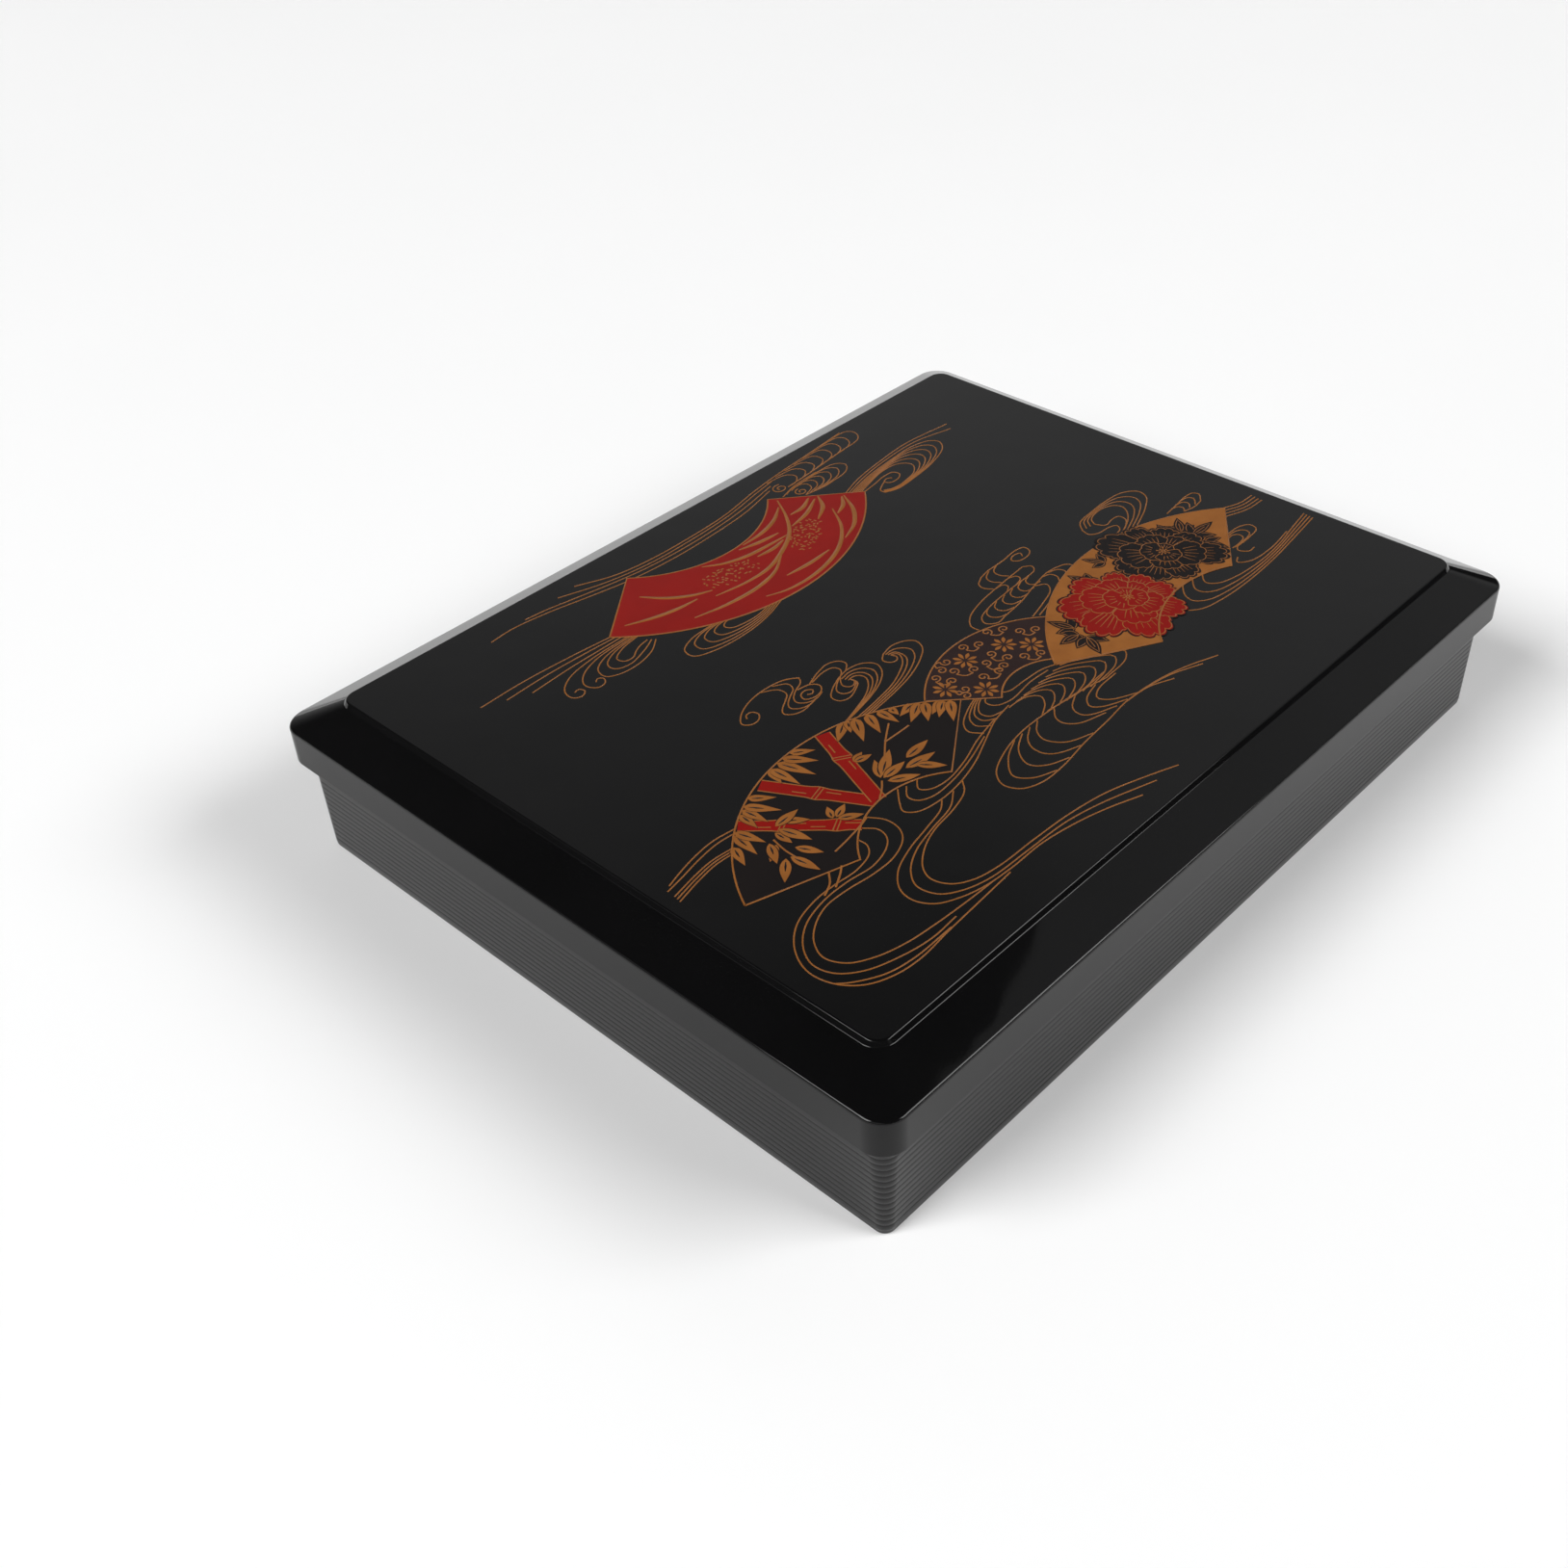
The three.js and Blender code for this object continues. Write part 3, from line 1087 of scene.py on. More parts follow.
@dataclass(frozen=True)
class Bundle:
    """Water lines that change evenly from one guide to another.

    Args:
        count: How many lines.
        first: Points of the first line.
        last: Points of the last line.
        fewest: The least number of points that a line gets.
    """

    count: int
    first: Path
    last: Path
    fewest: int = 12

    def lines(self) -> list[Path]:
        """Draws the lines.

        Returns:
            The lines' points, from the first guide to the last.
        """
        first, last = smooth(self.first), smooth(self.last)
        length = sum(math.dist(a, b) for a, b in zip(first, first[1:]))
        number = max(self.fewest, int(length))
        first, last = even_points(first, number), even_points(last, number)
        made = []
        for i in range(self.count):
            t = i / (self.count - 1)
            made.append([(a[0] + (b[0] - a[0]) * t, a[1] + (b[1] - a[1]) * t) for a, b in zip(first, last)])
        return made


@dataclass(frozen=True)
class Fan:
    """A folding fan's leaf: a ring sector whose sides needn't be radial.

    Args:
        pivot: Centre of both arcs.
        inner: Radius of the inner arc.
        outer: Radius of the outer arc.
        inner_span: Angles of the inner arc's ends, in degrees.
        outer_span: Angles of the outer arc's ends, in degrees.
    """

    pivot: Point
    inner: float
    outer: float
    inner_span: Point
    outer_span: Point

    def arc(self, radius: float, span: Point, steps: int = 48) -> Path:
        """Draws one arc.

        Args:
            radius: Its radius.
            span: Angles of its ends, in degrees.
            steps: How many parts it has.

        Returns:
            Its points, from the first angle to the second.
        """
        start, end = span
        return [polar(self.pivot, radius, start + (end - start) * i / steps) for i in range(steps + 1)]

    def outline(self) -> Path:
        """The leaf's closed outline."""
        return self.arc(self.outer, self.outer_span) + self.arc(self.inner, self.inner_span)[::-1]


RED_FAN = Fan((-5.8, 119.5), 44.3, 77.6, (223.2, 316.6), (221.2, 317.6))
BAMBOO_FAN = Fan((-66.7, -76.0), 29.8, 62.8, (144.5, 49.4), (153.8, 41.9))
BLOSSOM_FAN = Fan((1.4, -55.8), 18.5, 40.9, (133.7, 44.0), (134.3, 40.0))
PEONY_FAN = Fan((71.0, -88.4), 39.8, 74.0, (137.3, 59.9), (143.4, 48.9))

# Water behind the red fan, at the back of the panel
BACK_WATER = (
    Bundle(3, [(-60, 97.5), (-45, 92.8), (-28, 90.2), (-10, 90.2), (10, 91.7), (28, 95.2), (36, 96.6)],
           [(-89.5, 94.3), (-80.6, 95), (-67.6, 93.5), (-53.4, 90.5), (-38, 87.6), (-20, 86.4), (-2.5, 87),
            (15.3, 88.8), (31, 92.6)]),
    Bundle(8, [(34, 97), (42.5, 95.9), (44.3, 92.9), (41.3, 89.9), (37, 89.6)],
           [(70, 101.4), (79.2, 100.9), (80.6, 98.2), (78, 94.1), (66, 92.5)]),
    Bundle(6, [(33, 86.5), (38, 88), (42.5, 86.5), (42, 83.2), (37.6, 81.4)],
           [(48, 89), (59.1, 88.2), (61.4, 85.2), (57.9, 81.7), (46, 80.2)]),
    Bundle(2, [(45, 71), (56.7, 74.8), (69.7, 77), (86.3, 78.6), (106.4, 76.7)],
           [(46, 70.3), (57, 73.6), (70, 75.9), (88.6, 76.9), (104.6, 73.4)]),
    Bundle(6, [(46, 69.6), (60, 73.2), (74.4, 74.9), (86.3, 75.4), (92.8, 73.4), (94.6, 70.4),
               (91.6, 66.3), (80.4, 62.1), (69.7, 60.4), (60.2, 59.8), (55.5, 61.5)],
           [(48, 67.2), (57, 69.8), (65, 71.7), (72, 71.5), (75.5, 69), (75.9, 66.5), (72.1, 62.9),
            (67, 61.6), (62.6, 61), (59, 61.4), (56.2, 62.8)]),
    Bundle(3, [(-62, 68.2), (-79, 69.8), (-97, 70.7), (-113, 70.2)],
           [(-60, 65.8), (-72, 65.6), (-82, 65.4), (-98.3, 64.3)]),
    Bundle(2, [(-58, 64.5), (-75.9, 63.9), (-86.5, 61.5), (-91.8, 57.4), (-92.4, 53.3), (-90.1, 51.7),
               (-87.6, 53.2), (-88.3, 55.2), (-90.2, 54.8)],
           [(-58, 64), (-74.7, 62.7), (-83, 59.2), (-85.9, 55), (-84, 51.4), (-81, 51.6), (-79.8, 53.8),
            (-81.2, 55), (-82.6, 53.9)]),
    Bundle(3, [(-58, 63.4), (-72.3, 61.5), (-78.2, 58), (-78.8, 53.8), (-74.7, 51.5), (-67.6, 51.2),
               (-60.5, 53.3), (-55.7, 56.8)],
           [(-58, 62.4), (-66.5, 60.6), (-70.6, 58), (-69.8, 55.4), (-66.6, 55), (-64.2, 56.6), (-61, 58),
            (-57.6, 58.6)]),
    Bundle(5, [(-39.2, 49.3), (-48.6, 48.5), (-54.3, 45.6), (-54.6, 41.4), (-47.5, 38.5), (-34.4, 37.9),
               (-23.8, 39.6), (-15.5, 42.4)],
           [(-31, 47.6), (-35.6, 47), (-37.4, 45.6), (-36.4, 43.4), (-29.7, 42), (-25.5, 42.2),
            (-22.6, 42.8), (-19, 44)]),
)
BACK_LINES = (
    [(-52.2, 98.6), (-39.2, 93.5), (-25, 91.7), (-8.4, 91.7), (9.3, 92.9), (27.1, 96.4), (38.9, 98.2),
     (56.7, 100), (76.8, 102.1)],
    [(37, 89.6), (50, 90.6), (66, 92.5)],
    [(31, 86.2), (38.9, 88.4), (50.8, 89.2)],
    [(37, 81.2), (46, 80.2), (51, 80.6)],
    [(49, 66.8), (57.5, 68), (63, 69), (67.5, 68.6), (68.3, 66.2), (65.5, 64.3), (61.5, 64.6),
     (60.8, 66.5), (63, 67.2), (64.5, 66.2)],
    [(55.5, 61.5), (55.4, 63.4), (58, 65.2), (61, 66.5)],
    spiral((34.6, 91), 3.2, 60, 520, 0.8),
    spiral((37.8, 84), 2.6, 80, 480, 0.8),
)

# Curls over the bamboo fan and the lines at its left
BAMBOO_WATER = (
    Bundle(2, [(-103, -25.0), (-110.6, -24.1), (-118.2, -24.9), (-125.7, -26.7), (-130.5, -28.2)],
           [(-103, -26.4), (-110.6, -25.7), (-118.2, -26.6), (-126, -28.3), (-132.3, -29.5)]),
    Bundle(3, [(-108, -30.2), (-116.5, -29.5), (-123.2, -30.3), (-132.4, -32.2)],
           [(-108, -32), (-116.5, -31.4), (-124, -32.5), (-132.8, -34.6)]),
    Bundle(3, [(-55, 13), (-50.6, 10), (-50.4, 6.6), (-53, 4.6), (-56.6, 2.4), (-58.1, 0.5), (-56.6, -1.6),
               (-53.4, -2.7), (-48.6, -2)],
           [(-46, 12), (-42.4, 9.4), (-44, 7.2), (-47.4, 5.8), (-50.8, 3.4), (-51.6, 1.4), (-49.8, -0.8),
            (-46.4, -1.6), (-43, -0.6)]),
    Bundle(2, [(-42.5, 4.9), (-36.6, 7), (-31.6, 7.8), (-28.2, 6.1), (-27.8, 3.6), (-30.3, 1.5)],
           [(-41.5, 4.8), (-35.4, 5.9), (-32, 5.2), (-31.2, 3.2), (-32.2, 1.6), (-34, 0.4)]),
    Bundle(4, [(-35, 0.3), (-29.9, 1.3), (-24.9, 0.2), (-22.2, -3.1), (-23.7, -6.9), (-28.3, -10.3),
               (-35, -12.8), (-44.3, -14.9), (-53, -16.4)],
           [(-33.7, -2.6), (-31.4, -2.4), (-29.8, -3.4), (-29.4, -5.6), (-31.6, -8.6), (-36, -11.4),
            (-41, -13.2), (-46, -14.7), (-51, -16)]),
    Bundle(3, [(-35, 0.3), (-40, -2), (-43.4, -4.8), (-42.9, -7.7), (-40, -8.7), (-35.8, -7.3),
               (-32.6, -5.2), (-33, -2.8)],
           [(-34.2, 0.2), (-35.8, -1.4), (-36.8, -3.2), (-36, -5), (-34.6, -5.4), (-33.2, -4.6),
            (-32.6, -3.8), (-33, -2.8)]),
    Bundle(4, [(-17.3, -1.7), (-12.3, -0.6), (-8.1, -1.7), (-5.5, -4.4), (-6.8, -8.2), (-11.4, -11.5),
               (-19.8, -14.9), (-29.9, -17), (-42, -18.6)],
           [(-16, -3.6), (-14.9, -3.9), (-14.2, -4.7), (-14.2, -5.8), (-16.5, -8.8), (-21, -11.4),
            (-27, -13.8), (-36, -15.6), (-46, -16.9)]),
)
BAMBOO_LINES = (
    [(-42.1, 9.3), (-45.9, 12), (-53.5, 13.1), (-61, 12), (-66.9, 9.1), (-69.4, 6.1), (-67.7, 4),
     (-64.8, 4), (-62.7, 6.1), (-63.5, 8.2), (-65.7, 8.2), (-66.6, 6.8)],
    [(-47, 5.6), (-42.6, 4.6), (-41, 2.3), (-42.6, 0), (-46.4, -0.7), (-49, 0.8), (-48.2, 3), (-45.6, 3.6),
     (-44, 2.2), (-45.4, 1), (-46.8, 1.8)],
    [(-17.3, -1.7), (-19.7, -3.8), (-18.8, -6.2), (-16.9, -6.8), (-15.4, -5.4), (-16, -3.7)],
)

# Streams at the front of the panel
FRONT_WATER = (
    Bundle(4, [(-14, -35.8), (-22.3, -38.6), (-28.5, -42.1), (-30.3, -45.4), (-28, -49.2)],
           [(-13, -37), (-18.5, -39.5), (-21.5, -42.5), (-20.8, -45.4), (-16, -46.8)]),
    Bundle(2, [(-13, -38), (-16.5, -40.5), (-15.6, -43.4), (-10.6, -45.1), (0, -43.9), (8, -44.2)],
           [(-5, -37.4), (-9.8, -39.7), (-8.1, -41.8), (0, -42.2), (7, -42.6), (12, -44.2)]),
    Bundle(9, [(-14, -47), (-10, -47), (-6.1, -47.9), (-3.7, -50.5), (-5.7, -53.6), (-10.5, -56.4)],
           [(16, -45.2), (21, -47), (26.6, -51), (30.9, -55.2), (27.5, -58.3), (16, -59.6)]),
    Bundle(4, [(-25, -57.7), (-32.6, -61.5), (-37.9, -67.5), (-35, -72), (-28, -75)],
           [(-13.6, -57), (-17.9, -60.2), (-19.4, -64), (-16.5, -69.1), (-8, -72.6)]),
    Bundle(4, [(-5.8, -57), (-9.3, -60.3), (-9.8, -63.2), (-7.2, -66.6), (2, -69.6)],
           [(19.6, -60.3), (9.8, -61.2), (6.1, -63.6), (8.1, -66.9), (16, -71)]),
)
FRONT_LINES = (
    [(-77, -48.5), (-74.5, -53.1), (-74.9, -58.2), (-77.8, -61.9), (-84.6, -64.7), (-92.9, -65),
     (-101.3, -64), (-109.7, -64), (-116.5, -66.6), (-121.5, -70.8), (-123.8, -76.2), (-121.5, -81.7),
     (-115.6, -85.5), (-107.2, -88), (-97.1, -89.2), (-84.5, -89.9), (-74.5, -90.1)],
    [(-81.2, -50.6), (-78.8, -54), (-79.5, -57.7), (-82.9, -60.7), (-90.4, -62.8), (-99.7, -61.9),
     (-108.9, -62.2), (-118.2, -64.9), (-124.5, -69.9), (-127.4, -75.8), (-126.1, -81.7), (-120.7, -86.7),
     (-111.4, -90.1), (-101.3, -91.8), (-91.3, -91.3)],
    [(-85.4, -53.1), (-85.4, -56), (-87.9, -59), (-94.6, -60.7), (-103, -60.2), (-110.6, -60.5),
     (-119.8, -63.2), (-126.6, -69.1), (-129.9, -76.6), (-128.7, -84.2), (-124, -90.1), (-116.5, -93.4),
     (-108.1, -94.3), (-97.1, -93.3), (-84.5, -92.4), (-69.4, -91.3)],
    [(-62.7, -47), (-66.9, -51.4), (-68.8, -54.4), (-66.5, -57.3), (-59.3, -58.8), (-50.1, -58.2),
     (-40, -55.6), (-30, -51.4), (-21.5, -47.9), (-13, -46.2)],
    [(-60.2, -48), (-63.5, -51.4), (-62.7, -54.4), (-58.5, -56.3), (-50.1, -56), (-40, -53.8),
     (-29.1, -50.2)],
    [(-55.8, -48), (-58.9, -51.4), (-56.8, -53.8), (-50.9, -54.8), (-41.7, -53.1), (-31.6, -49.7),
     (-20.7, -47.2)],
    [(-58.5, -59.2), (-61.8, -61.5), (-70.2, -63.6), (-79.5, -65.7), (-87.9, -69.1), (-92.9, -74.1),
     (-93.8, -79.2), (-91.3, -84.2), (-85.4, -87.6), (-77.8, -89.7), (-67.7, -90.5), (-55.1, -90.5),
     (-42.5, -92.4), (-32.4, -95.1), (-21.7, -99)],
    [(-53.4, -59), (-59.3, -62.8), (-69.4, -64.9), (-79, -67.5), (-85.8, -71.6), (-89.2, -76.6),
     (-87.9, -82.5), (-82.9, -86.3), (-74.5, -88.8), (-59.3, -89.5), (-44.2, -90.1), (-31.6, -92.6),
     (-14.1, -98.2)],
    [(-48.4, -58), (-51.8, -61.5), (-59.3, -64), (-69.4, -65.7), (-77, -68.7), (-82.9, -73.3),
     (-84.7, -77.5), (-82.9, -82.5), (-77.8, -85.9), (-69.4, -87.6), (-55.1, -88), (-40.8, -88.8),
     (-27.4, -90.9), (-15.6, -94.7), (-4.7, -98.9)],
    [(16, -59.6), (5, -57.6), (-10.6, -56.6), (-21.5, -56.9), (-32.4, -59.4), (-40, -63.2), (-42.7, -67.8),
     (-40.8, -72.4), (-35, -75), (-25.7, -75.1), (-13.1, -73.3), (0, -72.1), (9.8, -70.9), (18.7, -71.1),
     (27.5, -72.2), (36.4, -74.4), (46.5, -78.1)],
    [(17.8, -57.4), (5.4, -57.8), (-7.9, -56.4)],
    [(9.8, -70.9), (20, -71.6), (28.4, -74.9)],
    [(18.7, -71.1), (29, -72.9), (40, -77.1)],
    [(-128.7, -84.2), (-125.7, -87), (-118.2, -91.3), (-109.7, -93), (-95, -92.9)],
)

# Water round the peony fan, at the right
PEONY_WATER = (
    Bundle(3, [(34.6, 2.6), (30.8, 0.4), (30.3, -2), (32, -4.6)],
           [(43.5, 3.5), (39.8, 1.6), (39.4, -1), (41, -3.6)]),
    Bundle(3, [(32, -4.9), (35.8, -5.4), (36.2, -7), (33.7, -8.7)],
           [(47.9, -3.5), (50.3, -5.4), (48.8, -7.6), (43.5, -8.3)]),
    Bundle(6, [(22.6, -10), (19.8, -11.6), (19.1, -13.4), (20.4, -15.6), (24, -16.7)],
           [(45, -8.3), (42, -9.4), (41.2, -11), (42, -12.6), (45, -13)]),
    Bundle(3, [(47, -11.9), (50.2, -13), (50.6, -15.4), (49, -17.4)],
           [(54, -11.8), (57.8, -13), (59, -15), (57.6, -17)]),
    Bundle(4, [(78, -5), (81.5, -1.4), (89.5, -0.1), (98.3, 0.4), (106.3, -0.5), (110.5, -4.1),
               (109.4, -8.1), (102.7, -12.5), (92, -16.8)],
           [(83.8, -5.6), (85.6, -3), (90, -1.6), (94.6, -1.8), (97.8, -3.4), (98.8, -6), (97.2, -9),
            (93, -12.4), (86, -15.4)]),
    Bundle(2, [(78, -5), (77.4, -8), (80, -9.9), (85.4, -10.4), (87.9, -11.6), (86.6, -13.8), (83, -14.8)],
           [(83.8, -5.6), (85.6, -8.8), (89.6, -8.2), (93, -8.6), (93, -11.4), (90, -13.8), (86, -15.4)]),
    Bundle(4, [(108, -19.4), (110.6, -20.2), (111.2, -22), (109.4, -23.5)],
           [(117, -18.3), (121.2, -18.8), (122, -20.8), (118.5, -23.9)]),
    Bundle(4, [(118, -31.6), (125.8, -34.6), (132.4, -34.9)], [(114, -35.4), (124, -38.8), (131.9, -39.2)]),
    Bundle(4, [(68, -47), (62, -52.3), (60.1, -56.3), (63.8, -60.3), (71.8, -62.2), (85, -62.9),
               (102.7, -62), (120.4, -59.8), (132.8, -58.1)],
           [(82, -48.6), (77.5, -53.2), (79.7, -56.3), (86.8, -58.5), (98.3, -59.4), (111.6, -58.5),
            (123.1, -56.3), (133.3, -54.5)]),
    Bundle(3, [(105, -42.6), (112.5, -42.7), (116, -44.8), (115.1, -47.7), (108, -48.9), (101.9, -49)],
           [(104, -44.2), (106.6, -44), (108.4, -45.4), (107.8, -47.4), (104.6, -48.4), (100, -48.4)]),
)
PEONY_LINES = (
    [(39, 3.5), (47, 3.6), (54.1, 4.3), (57.6, 3.4), (57.2, 0.8), (54.1, -0.8), (49.8, -0.2), (48.8, 1.6),
     (51.4, 2.9), (54.1, 2.1), (53, 0.5)],
    [(34.6, 2.6), (39, 3.5)],
    [(11.2, -15.6), (11.2, -12.5), (15.1, -8.9), (23.1, -6.3), (31.9, -5), (40.8, -4.1), (47.9, -3.5)],
    [(43.5, -8.3), (33.7, -8.8), (23.1, -10), (16.9, -12), (15.3, -14.7), (17.8, -17.3), (23.1, -16.7),
     (31.9, -15.6), (40.8, -13.4), (49.6, -11.6), (54, -11.8)],
    [(27.5, -23.5), (35.5, -21.3), (42.6, -18.7), (44.8, -15.6), (41.7, -13.4)],
    [(29.5, -24.6), (37, -22.6), (44, -20)],
    [(104.5, -20), (111.6, -19.1), (117, -18.3)],
    [(109.4, -23.5), (114, -24.4), (118.5, -23.9)],
    [(96.6, -52.6), (93.9, -54.2), (97.4, -57), (108, -57.8), (120, -56.2)],
    [(101.9, -49), (100.1, -50.5), (101.9, -53.4), (105, -53.4)],
)


@dataclass(frozen=True)
class Mark:
    """One mark of the print.

    Args:
        ink: Its ink.
        path: A fill's outline, or a line's points.
        widths: A line's widths as shares of the usual line; none for a fill.
    """

    ink: Ink
    path: Path
    widths: tuple[float, ...] = ()


@dataclass
class PrintSheet:
    """Collects what is printed on the panel, then makes one mesh of each ink's fills and one of its lines.

    Each mark lies a hair higher than the one before it, so that no two faces coincide.
    The fills reach into the panel by the ink's root.
    """

    panel_z: float
    line_width: float = 0.42
    first_top: float = 0.03
    mark_step: float = 0.0002
    ink_height: float = 0.2
    ink_root: float = 0.05
    marks: list[Mark] = field(default_factory=list)

    def top(self, order: int) -> float:
        """Height of a mark's upper face."""
        return self.panel_z + self.first_top + self.mark_step * order

    def fill(self, ink: Ink, outline: Path) -> None:
        """Adds a filled outline."""
        self.marks.append(Mark(ink, outline))

    def stroke(self, ink: Ink, path: Path, width: float = 1.0, brush: Brush = Brush.EVEN) -> None:
        """Adds a line.

        Args:
            ink: Its ink.
            path: Its points.
            width: Its width as a share of the usual line.
            brush: How its width runs.
        """
        last = max(1, len(path) - 1)
        widths = tuple(width * brush.share(i / last) for i in range(len(path)))
        self.marks.append(Mark(ink, path, widths))

    def closed(self, ink: Ink, outline: Path, width: float = 1.0) -> None:
        """Adds a line round an outline."""
        self.stroke(ink, [*outline, outline[0]], width)

    def fill_mesh(self, ink: Ink) -> Mesh:
        """Makes the thin plates of one ink.

        Args:
            ink: The ink.

        Returns:
            A mesh of closed plates.
        """
        work = bmesh.new()
        foot = (self.panel_z - self.ink_root) * MM
        for order, mark in enumerate(self.marks):
            if mark.ink is not ink or mark.widths:
                continue
            top = self.top(order) * MM
            upper = [work.verts.new((x * MM, y * MM, top)) for x, y in mark.path]
            lower = [work.verts.new((x * MM, y * MM, foot)) for x, y in mark.path]
            plate = [work.faces.new(upper), work.faces.new(lower[::-1])]
            for i in range(len(upper)):
                j = (i + 1) % len(upper)
                plate.append(work.faces.new((upper[i], lower[i], lower[j], upper[j])))
            plate[0].normal_update()
            if plate[0].normal.z < 0:
                bmesh.ops.reverse_faces(work, faces=plate)
        caps = [face for face in work.faces if len(face.verts) > 4]
        bmesh.ops.triangulate(work, faces=caps)
        return close_work(work, ink.value)

    def line_mesh(self, ink: Ink) -> Mesh:
        """Makes the centre lines of one ink's strokes.

        Args:
            ink: The ink.

        Returns:
            A mesh of edges, with the share of the usual width as an attribute.
        """
        points, edges, shares = [], [], []
        for order, mark in enumerate(self.marks):
            if mark.ink is not ink or not mark.widths:
                continue
            start = len(points)
            for (x, y), width in zip(mark.path, mark.widths):
                z = self.top(order) - self.ink_height * width / 2
                points.append((x * MM, y * MM, z * MM))
            edges += [(i, i + 1) for i in range(start, len(points) - 1)]
            shares += mark.widths
        mesh = bpy.data.meshes.new(ink.value)
        mesh.from_pydata(points, edges, [])
        mesh.attributes.new("share", "FLOAT", "POINT").data.foreach_set("value", shares)
        return mesh

    @staticmethod
    def line_tree() -> NodeTree:
        """Builds the geometry nodes that lay ink along centre lines.

        Returns:
            The node tree.
        """
        build = NodeBuilder(bpy.data.node_groups.new("printed lines", "GeometryNodeTree"))
        inputs = {"Geometry": Socket.GEOMETRY, "Line Width": Socket.FLOAT}
        inputs |= {"Ink Height": Socket.FLOAT, "Ink": Socket.MATERIAL}
        given = build.sockets(inputs, "Geometry", Socket.GEOMETRY)
        path = build.add("GeometryNodeMeshToCurve", {0: given["Geometry"]})
        level = build.add("GeometryNodeSetCurveNormal", {0: path.outputs[0]}, mode="Z_UP")
        size = {"Width": given["Line Width"], "Height": given["Ink Height"]}
        section = build.add("GeometryNodeCurvePrimitiveQuadrilateral", size, mode="RECTANGLE")
        share = build.add("GeometryNodeInputNamedAttribute", {"Name": "share"}, data_type="FLOAT")
        sweep = {"Curve": level.outputs[0], "Profile Curve": section.outputs[0]}
        sweep |= {"Scale": share.outputs[0], "Fill Caps": True}
        line = build.add("GeometryNodeCurveToMesh", sweep).outputs[0]
        build.add("NodeGroupOutput", {"Geometry": build.dress(line, given["Ink"])})
        return build.tree

    def build(self, inks: dict[Ink, Material]) -> None:
        """Makes the print's pieces and lays them on the lid.

        Args:
            inks: The material of each ink.
        """
        tree = self.line_tree()
        for ink, material in inks.items():
            mine = [mark for mark in self.marks if mark.ink is ink]
            if any(not mark.widths for mark in mine):
                obj = new_object(ink.value + "_fills", self.fill_mesh(ink))
                obj.data.materials.append(material)
                hand_over(obj, "lid", ink.slot)
            if any(mark.widths for mark in mine):
                obj = new_object(ink.value + "_lines", self.line_mesh(ink))
                sizes = {"Line Width": self.line_width * MM, "Ink Height": self.ink_height * MM}
                run_tree(obj, tree, sizes | {"Ink": material})
                hand_over(bake(obj), "lid", ink.slot)


@dataclass(frozen=True)
class Petal:
    """A ruffled petal.

    Args:
        root: Where it springs from.
        degrees: Its direction.
        length: How far its rim is from its root.
        spread: Half the angle that it fills, in degrees.
        ruffles: How many scallops its rim has.
        droop: How much shorter it is at its sides, as a share of its length.
        frill: Depth of its scallops, as a share of its length.
        sway: Depth of its rim's slow wave, as a share of its length.
        shadow: How far its dark line shows past its rim, and how many degrees past its sides.
    """

    root: Point
    degrees: float
    length: float
    spread: float
    ruffles: int = 5
    droop: float = 0.26
    frill: float = 0.07
    sway: float = 0.03
    shadow: Point = (0.5, 1.5)

    def spot(self, side: float, share: float) -> Point:
        """Finds a point of the petal.

        Args:
            side: From -1 at one side to 1 at the other.
            share: How far out it is, as a share of the way to the rim.

        Returns:
            The point.
        """
        scallop = abs(math.cos(math.pi * self.ruffles * (side + 1) / 2)) ** 0.6
        ruffle = 1 - self.frill + self.frill * scallop + self.sway * math.cos(4 * side)
        reach = self.length * (1 - self.droop * side**4) * ruffle
        return polar(self.root, reach * share, self.degrees + self.spread * side)

    def rim(self, share: float) -> Path:
        """The petal's edge, at a share of the way to its rim."""
        steps = self.ruffles * 6
        return [self.spot(2 * i / steps - 1, share) for i in range(steps + 1)]

    def shade(self, sheet: PrintSheet) -> None:
        """Draws the dark line that shows round the petal.

        Args:
            sheet: The print.
        """
        past_rim, past_sides = self.shadow
        grown = replace(self, length=self.length + past_rim, spread=self.spread + past_sides)
        sheet.fill(Ink.DARK, [self.root, *grown.rim(1.0)])

    def draw(self, sheet: PrintSheet, ink: Ink, line: float) -> None:
        """Draws the petal, its gold rim and its veins.

        Args:
            sheet: The print.
            ink: The petal's ink.
            line: Width of the gold lines as a share of the usual line.
        """
        sheet.fill(ink, [self.root, *self.rim(1.0)])
        edge = [self.spot(-1.0, 0.4), *self.rim(0.97), self.spot(1.0, 0.4)]
        sheet.stroke(Ink.GOLD, edge, line)
        near = 0.5
        for vein in range(-2, 3):
            side = vein / 4.2
            far = 0.85 - 0.07 * (vein % 2)
            path = [self.spot(side * 0.9, near), self.spot(side, (near + far) / 2), self.spot(side, far)]
            sheet.stroke(Ink.GOLD, path, line, Brush.TAIL)


